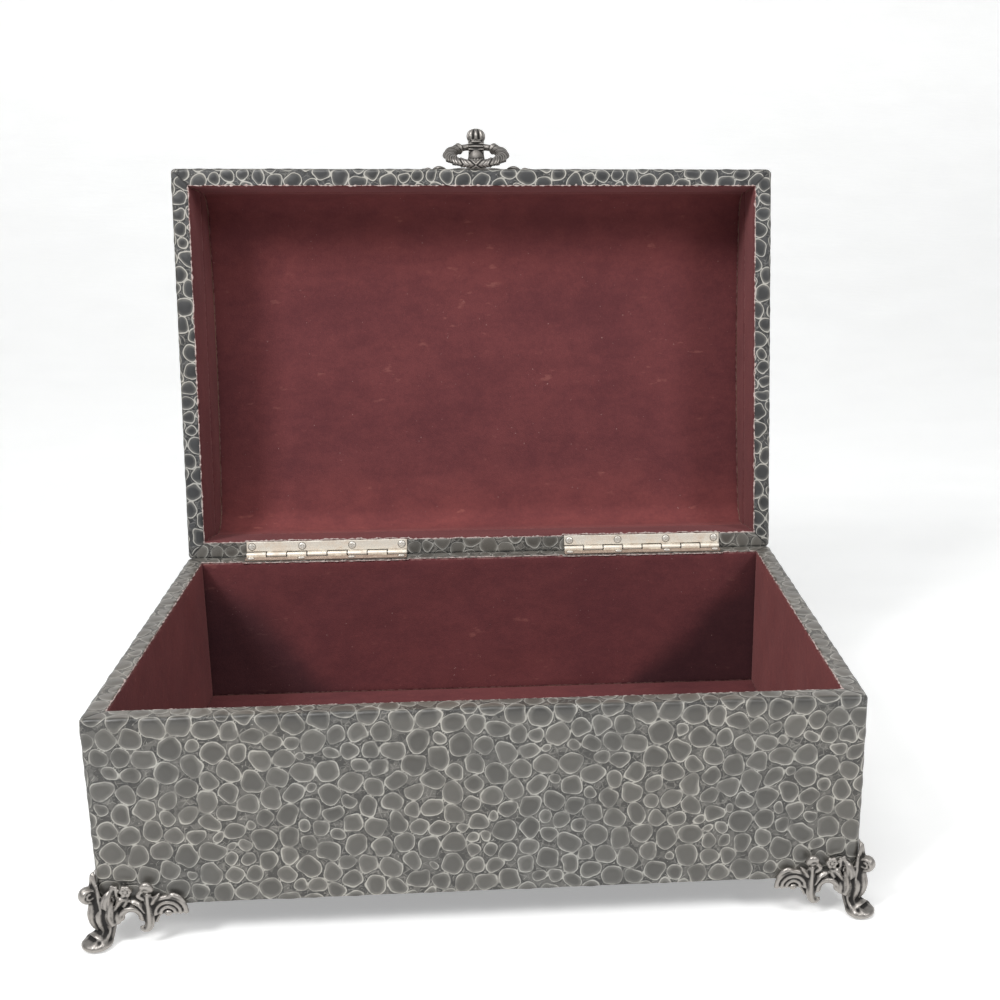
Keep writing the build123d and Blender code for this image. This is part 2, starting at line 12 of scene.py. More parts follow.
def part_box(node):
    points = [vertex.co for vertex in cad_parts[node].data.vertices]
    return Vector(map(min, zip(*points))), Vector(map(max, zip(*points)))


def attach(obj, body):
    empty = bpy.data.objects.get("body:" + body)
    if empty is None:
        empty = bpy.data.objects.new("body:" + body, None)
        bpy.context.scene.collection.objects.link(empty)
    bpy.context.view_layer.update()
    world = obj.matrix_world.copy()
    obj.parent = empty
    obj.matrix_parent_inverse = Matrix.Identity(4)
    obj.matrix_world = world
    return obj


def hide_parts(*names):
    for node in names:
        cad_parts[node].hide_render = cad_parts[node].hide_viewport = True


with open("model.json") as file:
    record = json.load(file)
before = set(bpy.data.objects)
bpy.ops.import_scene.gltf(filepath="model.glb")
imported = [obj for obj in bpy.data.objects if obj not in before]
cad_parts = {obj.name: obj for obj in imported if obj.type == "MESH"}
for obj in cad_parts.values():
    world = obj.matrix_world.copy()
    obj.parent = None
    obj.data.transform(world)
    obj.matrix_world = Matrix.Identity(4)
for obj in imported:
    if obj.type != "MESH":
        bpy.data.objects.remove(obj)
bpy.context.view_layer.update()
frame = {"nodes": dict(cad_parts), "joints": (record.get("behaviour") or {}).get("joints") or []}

bl_info = {
    "name": "Jewelry chest",
    "version": (1, 0, 0),
    "blender": (4, 5, 0),
    "location": "View3D > Sidebar > Chest",
    "description": "Builds the covering, linings, feet and pull of a domed jewelry chest",
    "category": "Add Mesh",
}

MM = 0.001


def span(node):
    """Low and high corners of a frame node, in millimetres."""
    low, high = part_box(node)
    return np.array(low) / MM, np.array(high) / MM


box_low, box_high = span("base_covering")
tray_low, tray_high = span("base_lining_floor")
HALF_WIDTH = box_high[0]
FRONT, BACK = box_low[1], box_high[1]
MIDDLE = (FRONT + BACK) / 2
HALF_DEPTH = (BACK - FRONT) / 2
UNDER, RIM = box_low[2], box_high[2]
BOARD_INSET = HALF_WIDTH - tray_high[0]
TRAY = tray_high[2]
LINING = tray_high[2] - tray_low[2]
INNER = BOARD_INSET + LINING
HINGE = next(j for j in frame["joints"] if j["name"] == "lid_hinge")
HINGE_Y, HINGE_Z = HINGE["pos_m"][1] / MM, HINGE["pos_m"][2] / MM

# Sizes that the frame's boxes don't give, in millimetres and degrees
OPEN_ANGLE = 98.9
LID_RIM = RIM + 3.2
SPRING = LID_RIM + 39.0
STRIP_TOP = LID_RIM + 34.0
LINING_DROP, CARD_GAP = 0.8, 0.4
CORNER_ROUND, RIM_ROUND = 3.0, 2.0
DOME_RISE, INNER_HAUNCH = 22.0, 15.0
HAUNCH = INNER_HAUNCH + INNER
CROWN_TURN = 2 * math.atan((DOME_RISE - INNER_HAUNCH) / (HALF_DEPTH - INNER - INNER_HAUNCH))
CROWN = HAUNCH + (HALF_DEPTH - HAUNCH) / math.sin(CROWN_TURN)
CROWN_CENTRE = SPRING + DOME_RISE + INNER - CROWN
END_SEAM = HALF_WIDTH - 5.0
HINGE_MIDDLES = {"left": -98.0, "right": 101.0}
HINGE_LENGTH, KNUCKLES = 100.0, 8
KNUCKLE, KNUCKLE_BORE, KNUCKLE_GAP = 1.5, 0.88, 0.15
LEAF, LEAF_WIDTH, LEAF_SETBACK = 0.8, 6.4, 1.8
SCREW_Y = HINGE_Y - LEAF_SETBACK - LEAF_WIDTH / 2
SCREW_STEPS = (-46.5, -15.5, 15.5, 46.5)
PULL_Z = LID_RIM + 30.0
EYE_OUT = 17.0
RING, RING_HALF_CHORD = 17.0, 5.2
RING_REACH = math.sqrt(RING**2 - RING_HALF_CHORD**2)
SIDES = ((1, "right"), (-1, "left"))
ROUND = 2 * math.pi


# Sums on whole arrays


def ease(low, high, value):
    """Smooth step from 0 at low to 1 at high."""
    t = np.clip((np.asarray(value, float) - low) / (high - low), 0, 1)
    return t * t * (3 - 2 * t)


def spread(*values):
    """Points from coordinates that are spread over each other's rows and columns."""
    return np.stack(np.broadcast_arrays(*values), axis=-1)


def turns(count):
    """Even turns once round a circle, without the last that meets the first."""
    return np.linspace(0, ROUND, count + 1)[:-1]


def ripple(points, size, seed, waves=14):
    """Smooth noise of about -1 to 1: sines of random direction whose lengths are near size."""
    rng = np.random.default_rng(seed)
    points = np.asarray(points, float)
    ways = rng.normal(size=(waves, points.shape[-1]))
    ways /= np.linalg.norm(ways, axis=1)[:, None]
    pace = ROUND / (size * rng.uniform(0.7, 1.6, waves))
    start = rng.uniform(0, ROUND, waves)
    total = np.zeros(points.shape[:-1])
    for way, speed, phase in zip(ways, pace, start):
        total += np.sin(points @ way * speed + phase)
    return total / math.sqrt(waves)


def unit(vectors):
    """Vectors of length 1."""
    return vectors / np.maximum(np.linalg.norm(vectors, axis=-1, keepdims=True), 1e-12)


def grid_normals(grid):
    """Directions across a grid of points: along the columns times along the rows."""
    return unit(np.cross(np.gradient(grid, axis=1), np.gradient(grid, axis=0)))


def run_lengths(points):
    """Distance of each point of a run from its start."""
    return np.concatenate([[0], np.cumsum(np.linalg.norm(np.diff(points, axis=0), axis=1))])


def walk(corners, step):
    """Points no further apart than step along straight runs between corners."""
    corners = np.asarray(corners, float)
    rows = [corners[:1]]
    for a, b in zip(corners[:-1], corners[1:]):
        count = max(1, math.ceil(np.linalg.norm(b - a) / step))
        rows.append(a + (b - a) * (np.arange(1, count + 1) / count)[:, None])
    return np.concatenate(rows)


OPEN_COS, OPEN_SIN = math.cos(-math.radians(OPEN_ANGLE)), math.sin(-math.radians(OPEN_ANGLE))


def opened(points):
    """Points of the closed lid turned about the hinge pins to its open stand."""
    y, z = points[..., 1] - HINGE_Y, points[..., 2] - HINGE_Z
    turned_y = HINGE_Y + y * OPEN_COS - z * OPEN_SIN
    return spread(points[..., 0], turned_y, HINGE_Z + y * OPEN_SIN + z * OPEN_COS)


def arch(step, inset=0.0):
    """Lid section from the front spring line over the crown to the back one.

    Two haunch arcs and a crown arc share their directions, so a point at an inset is the outer
    point moved along its own direction. Gives points and directions as (y, z), and lengths."""
    haunch_run = HAUNCH * (math.pi / 2 - CROWN_TURN)
    crown_run = 2 * CROWN * CROWN_TURN
    run = 2 * haunch_run + crown_run
    s = np.linspace(0, run, math.ceil(run / step) + 1)
    haunch_turns = [-math.pi / 2 + s / HAUNCH, math.pi / 2 - (run - s) / HAUNCH]
    crown_turn = (s - haunch_run) / CROWN - CROWN_TURN
    turn = np.select([s < haunch_run, s > haunch_run + crown_run], haunch_turns, crown_turn)
    way = spread(np.sin(turn), np.cos(turn))
    on_haunch = np.abs(turn) > CROWN_TURN
    radius = np.where(on_haunch, HAUNCH, CROWN)[:, None] - inset
    centre_y = MIDDLE + np.where(on_haunch, np.sign(turn) * (HALF_DEPTH - HAUNCH), 0)
    return spread(centre_y, np.where(on_haunch, SPRING, CROWN_CENTRE)) + radius * way, way, s


# Meshes


def build_mesh(name, points, quads, caps=(), fields=None, sharp=None):
    """Object of points in millimetres, with quads, end faces of any size and point values."""
    mesh = bpy.data.meshes.new(name)
    quads = np.asarray(quads, np.int32).reshape(-1, 4)
    loops = np.concatenate([quads.ravel(), *[np.asarray(c, np.int32) for c in caps]])
    sizes = np.concatenate([np.full(len(quads), 4), [len(c) for c in caps]]).astype(np.int32)
    mesh.vertices.add(len(points))
    mesh.vertices.foreach_set("co", (np.asarray(points) * MM).astype(np.float32).ravel())
    mesh.loops.add(len(loops))
    mesh.loops.foreach_set("vertex_index", loops)
    mesh.polygons.add(len(sizes))
    starts = np.concatenate([[0], np.cumsum(sizes)[:-1]]).astype(np.int32)
    mesh.polygons.foreach_set("loop_start", starts)
    mesh.update(calc_edges=True)
    for title, values in (fields or {}).items():
        layer = mesh.attributes.new(title, "FLOAT", "POINT")
        layer.data.foreach_set("value", np.asarray(values, np.float32).ravel())
    mesh.shade_smooth()
    if sharp:
        mesh.set_sharp_from_angle(angle=math.radians(sharp))
    piece = bpy.data.objects.new(name, mesh)
    bpy.context.scene.collection.objects.link(piece)
    return piece


def closed(grid, wrap_columns=False):
    """Points, quads and end faces of a grid whose rows close, or both its rows and columns."""
    number = np.arange(grid[..., 0].size).reshape(grid.shape[:2])
    above = np.roll(number, -1, axis=0)
    quads = spread(number, np.roll(number, -1, axis=1), np.roll(above, -1, axis=1), above)
    if wrap_columns:
        return grid.reshape(-1, 3), quads.reshape(-1, 4), []
    return grid.reshape(-1, 3), quads[:, :-1].reshape(-1, 4), [number[:, 0], number[::-1, -1]]


def tube(grid):
    """Points, quads and end faces of a grid whose columns close on themselves."""
    number = np.arange(grid[..., 0].size).reshape(grid.shape[:2])
    beside = np.roll(number, -1, axis=1)
    quads = spread(number[:-1], beside[:-1], beside[1:], number[1:]).reshape(-1, 4)
    return grid.reshape(-1, 3), quads, [number[0, ::-1], number[-1]]


def gather(forms):
    """Points, quads and end faces of several closed forms as one."""
    points, quads, caps, start = [], [], [], 0
    for form_points, form_quads, form_caps in forms:
        points.append(form_points)
        quads.append(form_quads + start)
        caps += [cap + start for cap in form_caps]
        start += len(form_points)
    return np.concatenate(points), np.concatenate(quads), caps


def face_outwards(piece):
    """Turn the faces of a closed mesh outwards."""
    work = bmesh.new()
    work.from_mesh(piece.data)
    bmesh.ops.recalc_face_normals(work, faces=work.faces)
    work.to_mesh(piece.data)
    work.free()


def dress(piece, finish, slot, body, *nodes):
    """Give a piece its finish, the body it rides on and the nodes it stands for; slot is not used."""
    piece.data.materials.clear()
    piece.data.materials.append(finish)
    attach(piece, body)
    if nodes:
        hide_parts(*nodes)


def give(nodes, finish):
    """Put one finish on every material slot of the frame's nodes."""
    for name in nodes:
        piece = frame["nodes"][name]
        if not piece.data.materials:
            piece.data.materials.append(finish)
        for slot in piece.material_slots:
            slot.material = finish


def shell(name, outer, thickness, outward, fields, back_step=6, sharp=40):
    """Closed sheet: an outer grid, and behind it a coarser return at a thickness.

    outward is a grid of directions for the return. Rows close through the return, and the
    first and last columns are end faces."""
    picks = np.unique(np.append(np.arange(0, len(outer), back_step), len(outer) - 1))[::-1]
    grid = np.concatenate([outer, outer[picks] - outward[picks] * thickness])
    kept = {title: np.concatenate([values, values[picks]]) for title, values in fields.items()}
    return build_mesh(name, *closed(grid), kept, sharp)


# Shader sums


def sums(operation, swapped=False):
    """Method that adds one Math node, for a value and another in this order or swapped."""

    def method(self, other=None):
        pair = (other, self) if swapped else (self, other)
        values = {place: value for place, value in enumerate(pair) if value is not None}
        return self.finish.node("ShaderNodeMath", {"operation": operation}, values)

    return method


class Value:
    """A shader socket that is written in sums: each operator adds one Math node."""

    def __init__(self, finish, socket):
        self.finish = finish
        self.socket = socket

    __add__, __radd__ = sums("ADD"), sums("ADD", True)
    __sub__, __rsub__ = sums("SUBTRACT"), sums("SUBTRACT", True)
    __mul__, __rmul__ = sums("MULTIPLY"), sums("MULTIPLY", True)
    __truediv__, __rtruediv__ = sums("DIVIDE"), sums("DIVIDE", True)
    __abs__ = sums("ABSOLUTE")
    most, least = sums("MAXIMUM"), sums("MINIMUM")

    def __neg__(self):
        return self * -1.0

    def eased(self, low, high):
        """Smooth step from 0 at low to 1 at high."""
        settings = {"interpolation_type": "SMOOTHSTEP"}
        inputs = {"Value": self, "From Min": low, "From Max": high}
        return self.finish.node("ShaderNodeMapRange", settings, inputs)


class Finish:
    """A material under construction, with its Principled shader."""

    def __init__(self, name, **constants):
        self.material = bpy.data.materials.new(name)
        self.material.use_nodes = True
        self.tree = self.material.node_tree
        self.shader = self.tree.nodes["Principled BSDF"]
        self.put(**constants)

    def put(self, **inputs):
        """Set or link the shader's own sockets, named with _ for each space."""
        for name, value in inputs.items():
            self.fill(self.shader.inputs[name.replace("_", " ")], value)
        return self.material

    def fill(self, socket, value):
        """Link a value to a socket, or set the socket to a number, vector or colour."""
        if isinstance(value, Value):
            self.tree.links.new(value.socket, socket)
        elif socket.type == "RGBA" and len(value) == 3:
            socket.default_value = (*value, 1.0)
        else:
            socket.default_value = value

    def node(self, kind, settings=None, inputs=None, output=0):
        """Add one node: its settings first, then its sockets by name or number."""
        made = self.tree.nodes.new(kind)
        for name, value in (settings or {}).items():
            if name == "stops":
                for element, (place, colour) in zip(made.color_ramp.elements, value):
                    element.position, element.color = place, (*colour, 1.0)
                for place, colour in value[2:]:
                    made.color_ramp.elements.new(place).color = (*colour, 1.0)
            else:
                setattr(made, name, value)
        for name, value in (inputs or {}).items():
            self.fill(made.inputs[name], value)
        return Value(self, made.outputs[output])

    def place(self, scale=(1, 1, 1), turn=(0, 0, 0)):
        """Object coordinates, stretched and turned."""
        where = self.node("ShaderNodeTexCoord", output="Object")
        return self.node("ShaderNodeMapping", None, {"Vector": where, "Rotation": turn, "Scale": scale})

    def noise(self, size, detail=2.0, where=None, rough=0.55):
        """Noise of about 0 to 1 whose features are size metres across."""
        where = where or self.node("ShaderNodeTexCoord", output="Object")
        inputs = {"Vector": where, "Scale": 1.0 / size, "Detail": detail, "Roughness": rough}
        return self.node("ShaderNodeTexNoise", None, inputs)

    def cells(self, size, output, feature="F1"):
        """Cells size metres across: distance (output 0) or a shade for each cell (output 1)."""
        inputs = {"Vector": self.node("ShaderNodeTexCoord", output="Object"), "Scale": 1.0 / size}
        return self.node("ShaderNodeTexVoronoi", {"feature": feature}, inputs, output)

    def field(self, name):
        """A value that the mesh carries at its points."""
        return self.node("ShaderNodeAttribute", {"attribute_name": name}, output="Fac")

    def blend(self, share, first, second, kind="MIX"):
        """Colour between two others."""
        settings = {"data_type": "RGBA", "blend_type": kind}
        return self.node("ShaderNodeMix", settings, {0: share, 6: first, 7: second}, output=2)

    def bump(self, height, distance, strength=1.0):
        """Bumped direction; height is 0 to 1 and distance its depth in metres."""
        inputs = {"Height": height, "Distance": distance, "Strength": strength}
        return self.node("ShaderNodeBump", None, inputs)


def toned(colour, share):
    """A colour made darker or paler by a share."""
    return tuple(min(1.0, c * share) for c in colour)


# Settings


def length(name, description, default, low, high):
    """Setting for a length in metres."""
    return bpy.props.FloatProperty(
        name=name, description=description, default=default, min=low, max=high, precision=5, unit="LENGTH"
    )


def colour(name, description, *default):
    """Setting for a colour."""
    return bpy.props.FloatVectorProperty(
        name=name, description=description, default=default, size=3, subtype="COLOR"
    )


def angle(name, description, degrees):
    """Setting for an angle."""
    return bpy.props.FloatProperty(
        name=name, description=description, default=math.radians(degrees), subtype="ANGLE"
    )


def power(name, description, watts):
    """Setting for a light's power."""
    return bpy.props.FloatProperty(
        name=name, description=description, default=watts, min=0, max=500, unit="POWER"
    )


class ChestLeather(bpy.types.PropertyGroup):
    """Sizes and colours of the embossed covering."""

    grid_step: length(
        "Grid step", "Distance between points of the covering's relief", 0.0009, 0.0004, 0.003
    )
    dome_step: length(
        "Dome grid step", "Distance between points of the relief on the lid's dome", 0.0013, 0.0006, 0.004
    )
    tile: length(
        "Pattern repeat", "Length after which the embossing roller repeats its pebbles", 0.114, 0.05, 0.3
    )
    largest: length("Largest pebble", "Radius of the largest pebbles", 0.0058, 0.002, 0.02)
    smallest: length("Smallest pebble", "Radius of the smallest pebbles", 0.0021, 0.001, 0.01)
    swell: length("Relief", "Height of a pebble over the ground between pebbles", 0.00055, 0.0, 0.002)
    seed: bpy.props.IntProperty(
        name="Pebble seed", description="Start of the random laying of pebbles", default=11
    )
    cell_colour: colour("Pebble colour", "Dark grey of the pebbles", 0.088, 0.082, 0.072)
    ground_colour: colour("Ground colour", "Grey between the pebbles", 0.080, 0.075, 0.067)
    # The ring colour also tints the painted light inside each pebble.
    ring_colour: colour(
        "Ring colour", "Rubbed pale grey of the rings round the pebbles", 0.44, 0.418, 0.372
    )


class ChestVelvet(bpy.types.PropertyGroup):
    """Sizes and colours of the linings."""

    grid_step: length("Grid step", "Distance between points of the linings", 0.003, 0.001, 0.01)
    wave: length("Unevenness", "Height of the gentle waves of cloth glued to card", 0.00022, 0.0, 0.001)
    pile_colour: colour("Pile colour", "Wine red of the velvet", 0.148, 0.043, 0.045)
    brushed_colour: colour(
        "Brushed pile colour", "Wine red where the pile is brushed the other way", 0.108, 0.032, 0.036
    )
    frayed_colour: colour(
        "Frayed edge colour", "Pale cut edge of the velvet and its dried glue", 0.56, 0.45, 0.42
    )


class ChestMetal(bpy.types.PropertyGroup):
    """Sizes and colours of the cast feet, the pull and the hinges."""

    foot_voxel: length(
        "Foot detail", "Size of the smallest detail that the cast feet keep", 0.0005, 0.0003, 0.002
    )
    pull_voxel: length(
        "Pull detail", "Size of the smallest detail that the ring pull keeps", 0.0003, 0.0002, 0.002
    )
    pewter_colour: colour("Pewter colour", "Rubbed high places of the castings", 0.30, 0.28, 0.26)
    tarnish_colour: colour("Tarnish colour", "Dark hollows of the castings", 0.022, 0.020, 0.019)
    hinge_colour: colour("Hinge colour", "Plated steel of the hinges", 0.98, 0.92, 0.81)


class ChestStage(bpy.types.PropertyGroup):
    """Camera and light."""

    lens: bpy.props.FloatProperty(
        name="Lens", description="Focal length on a 36 mm wide frame, in millimetres", default=48.37,
        min=10, max=200,
    )
    camera_place: bpy.props.FloatVectorProperty(
        name="Camera place", description="Where the camera stands",
        default=(0.00757, -0.74227, 0.37981), size=3, subtype="TRANSLATION",
    )
    pitch: angle("Pitch", "How far the camera looks down", 15.948)
    yaw: angle("Yaw", "How far the camera is turned to its left", -4.771)
    roll: angle("Roll", "Lean of the camera", 0.231)
    left_power: power("Left light", "Power of the stronger light, at the front left", 17.5)
    right_power: power("Right light", "Power of the weaker light, at the front right", 8.0)
    top_power: power("Overhead light", "Power of the light overhead", 8.0)
    surround: bpy.props.FloatProperty(
        name="Surround", description="Brightness of the even white surround", default=0.21, min=0, max=5
    )


# Embossed covering

FAR = 9.0
PEBBLE_GAP, PUSHES, PUSH = 1.2, 500, 0.22
LID_PATTERN = 40
COVER_DEPTH = 0.9
WALLS = ("front", "right", "back", "left")


def shortest(apart, tile):
    """The same way on a pattern that repeats, by its shortest run."""
    return apart - tile * np.round(apart / tile)


def lay_pebbles(leather):
    """Pebbles on a tile that repeats both ways, pushed apart until they stand side by side.

    Each is then given an oval form, a turn and a shade of its own. Rows are x, y, radius,
    stretch, turn, shade."""
    rng = np.random.default_rng(leather.seed)
    tile, big, small = leather.tile / MM, leather.largest / MM, leather.smallest / MM
    classes = (
        (0.88 * big, big, 44), (0.74 * big, 0.88 * big, 52), (0.54 * big, 0.74 * big, 24),
        (small, 0.54 * big, 8),
    )
    radii = np.concatenate([rng.uniform(*sizes) for sizes in classes])
    places = rng.uniform(0, tile, (len(radii), 2))
    reach = radii[:, None] + radii[None] + PEBBLE_GAP
    np.fill_diagonal(reach, 0)
    for _ in range(PUSHES):
        apart = shortest(places[:, None] - places[None], tile)
        distance = np.maximum(np.linalg.norm(apart, axis=2), 1e-6)
        push = np.maximum(reach - distance, 0) / distance
        places += PUSH * np.sum(apart * push[..., None], axis=1).clip(-3, 3)
    count = len(radii)
    stretch, turn = rng.uniform(0.87, 1.15, count), rng.uniform(0, math.pi, count)
    return np.column_stack([places % tile, radii, stretch, turn, rng.uniform(0, 1, count)])


def pebble_fields(places, pebbles, tile):
    """Three values at each pattern point, as arrays of the points' own form.

    ring: distance to the nearest pebble's outline, negative inside it. crease: how much nearer
    that pebble is than the next. shade: the pebble's own shade."""
    flat = places.reshape(-1, 2)
    flat = flat + 0.55 * spread(ripple(flat, 9.0, 3), ripple(flat, 9.0, 4))
    near, after, shade = np.full(len(flat), FAR), np.full(len(flat), FAR), np.zeros(len(flat))
    for x, y, radius, stretch, turn, tone in pebbles:
        apart = shortest(flat - (x, y), tile)
        c, s = math.cos(turn), math.sin(turn)
        u = (apart[:, 0] * c + apart[:, 1] * s) * stretch
        v = (apart[:, 1] * c - apart[:, 0] * s) / stretch
        gap = np.hypot(u, v) - radius
        closer = gap < near
        after = np.where(closer, near, np.minimum(after, gap))
        shade = np.where(closer, tone, shade)
        near = np.where(closer, gap, near)
    return (values.reshape(places.shape[:-1]) for values in (near, after - near, shade))


def pebble_relief(ring, crease, swell):
    """Height of the embossing: domed pebbles with a raised outline, over creased ground."""
    dome = ease(0.0, 4.2, -ring)
    outline = np.exp(-(((ring + 0.1) / 0.5) ** 2))
    fold = ease(0.7, 0.0, crease) * ease(0.1, 0.7, ring)
    ground = ease(0.0, 1.0, ring)
    return swell * (1.10 * dome + 0.22 * outline + 0.24 * fold - 0.30 * ground)


def wall_grid(side, profile, step):
    """One wall of a rounded box, between the mitre planes of its two corners.

    profile rows are (inset, height). At each inset the wall is a straight run with an eighth of a
    round at each end, whose radius shrinks with the inset. Gives the points, each point's
    distance along the wall, and its distance to the nearer mitre."""
    along, outward = (((1, 0), (0, 1), (-1, 0), (0, -1))[(side + k) % 4] for k in (0, 3))
    half, reach = (HALF_WIDTH, HALF_DEPTH) if side % 2 == 0 else (HALF_DEPTH, HALF_WIDTH)
    inset = profile[:, :1]
    radius = np.maximum(CORNER_ROUND - inset, 0.05)
    straight = half - inset - radius
    count = math.ceil(2 * (half - CORNER_ROUND) / step) + 1
    middle = straight * np.linspace(-1, 1, count)
    last = np.radians([[11.25, 22.5, 33.75, 45.0]])
    first = last[:, ::-1]
    a = np.hstack([-straight - radius * np.sin(first), middle, straight + radius * np.sin(last)])
    s = np.hstack([-straight - radius * first, middle, straight + radius * last])
    b = reach - inset - radius
    level = np.repeat(b + radius, count, axis=1)
    b = np.hstack([b + radius * np.cos(first), level, b + radius * np.cos(last)])
    x, y = a * along[0] + b * outward[0], MIDDLE + a * along[1] + b * outward[1]
    to_mitre = (half - np.abs(a)) - (reach - b)
    return spread(x, y, profile[:, 1:]), s, np.abs(to_mitre) / math.sqrt(2)


def perimeter_start(side):
    """Where a wall's middle lies along the sheet that is wrapped round the four walls."""
    lost = CORNER_ROUND * (1 - math.pi / 4)
    halves = [HALF_WIDTH - lost, HALF_DEPTH - lost] * 2
    return sum(halves[k] + halves[k + 1] for k in range(side))


def rim_profile(low_z, rim_z, step):
    """Profile of a wall from its foot, round the rim's edge and in over the rim.

    Rows are (inset, height). The rim may lie above or below the foot."""
    side = 1 if rim_z > low_z else -1
    turn = np.radians(np.linspace(0, 90, 5))
    across, down = RIM_ROUND * (1 - np.cos(turn)), RIM_ROUND * (1 - np.sin(turn))
    return np.concatenate([
        walk([(0, low_z), (0, rim_z - side * RIM_ROUND)], step)[:-1],
        spread(across, rim_z - side * down),
        walk([(RIM_ROUND, rim_z), (BOARD_INSET + 0.1, rim_z)], step)[1:],
        [(BOARD_INSET + 0.35, rim_z - side * 0.25), (BOARD_INSET + 0.4, rim_z - side * 0.9)],
    ])


def leather_finish(leather):
    """Embossed grey covering: soft dark pebbles, rubbed pale rings and creased ground."""
    f = Finish("embossed_leather", Specular_IOR_Level=0.5, Coat_Roughness=0.28, Coat_IOR=1.45)
    fine = f.noise(0.0011, 3.0)
    patch = f.noise(0.012, 2.0)
    broad = f.noise(0.06, 2.0)
    ring = f.field("ring") + (f.noise(0.0026, 2.0) - 0.5) * 0.45
    crease = f.field("crease")
    rim = f.field("rim")
    worn = f.noise(0.0075, 2.0, rough=0.65).eased(0.32, 0.66)
    line = 1 - (abs(ring + 0.10) / (0.22 + patch * 0.24)).eased(0.2, 1.35)
    # Painted light: each pebble is paler just inside its outline, in place of the shading of its dome; it
    # is stronger where the worn noise is high.
    painted_dome_light = (1 - (-ring).eased(0.1, 2.3)) * (1 - ring.eased(-0.1, 0.3))
    fold = (1 - (abs(crease) / 0.34).eased(0.2, 1.3)) * ring.eased(0.15, 0.5)
    meet = (1 - crease.eased(0.05, 0.6)) * (1 - ring.eased(-0.5, 0.0))
    wrinkle = f.noise(0.0024, 3.0, f.place((1.0, 1.0, 1.6)), 0.6)
    facet = f.cells(0.0034, 1).eased(0.15, 0.85)
    creases = 1 - f.cells(0.0040, 0, "DISTANCE_TO_EDGE").eased(0.0, 0.09)
    # Painted shadow: a dark line just outside some pebble outlines, in the groove beside them.
    groove = (1 - (abs(ring - 0.55) / 0.36).eased(0.2, 1.2)) * patch.eased(0.40, 0.60)
    dark_cell, pale_cell = toned(leather.cell_colour, 0.60), toned(leather.cell_colour, 1.30)
    cell = f.blend(f.field("shade") * 0.55 + patch * 0.45, dark_cell, pale_cell)
    dark_ground, pale_ground = toned(leather.ground_colour, 0.62), toned(leather.ground_colour, 1.40)
    ground = f.blend((wrinkle * 0.5 + facet * 0.5).eased(0.36, 0.64), dark_ground, pale_ground)
    tone = f.blend(ring.eased(-0.1, 0.45), cell, ground)
    # Painted light and shade from the rim field: paler on the box's rim and the lid's back rim, darker
    # and bluer on the lid's other rims and on the walls next to every rim.
    tone = f.blend((-rim).most(0.0), tone, (1.75, 1.68, 1.62), "MULTIPLY")
    tone = f.blend(rim.most(0.0) * 0.8, tone, (0.42, 0.45, 0.52), "MULTIPLY")
    # Painted shadow in the grooves beside the outlines.
    tone = f.blend(groove * 0.8, tone, (0.034, 0.033, 0.031))
    # Painted dome light mixed in inside each pebble.
    tone = f.blend(painted_dome_light * (0.10 + worn * 0.20), tone, leather.ring_colour)
    pale = (line * (0.18 + worn * 0.78)).most(fold * (0.24 + worn * 0.40)).most(meet * 0.3)
    # The rings are drawn paler on the lid's shaded rims.
    pale = pale.most(line * rim * 0.92)
    pale = pale.most(creases * ring.eased(0.3, 0.8) * patch.eased(0.35, 0.6) * 0.30)
    tone = f.blend(pale, tone, leather.ring_colour)
    tone = f.blend(broad.eased(0.35, 0.7) * 0.6, tone, (0.86, 0.90, 0.95), "MULTIPLY")
    seam = 1 - f.field("seam").eased(0.12, 0.75)
    tone = f.blend(seam * 0.85, tone, (0.016, 0.015, 0.015))
    lines = line * 0.5 + fold * 0.3 - groove * 0.3
    uneven = (wrinkle * 0.3 + facet * 0.5 + creases * 0.3) * ring.eased(-0.1, 0.5)
    return f.put(
        Base_Color=tone,
        Roughness=0.38 + fine * 0.12 + pale * 0.12 + ring.eased(0, 0.6) * 0.08,
        Coat_Weight=0.24 - pale * 0.10,
        Normal=f.bump(lines + fine * 0.10 + uneven - seam * 0.8, 0.0004, 0.9),
    )


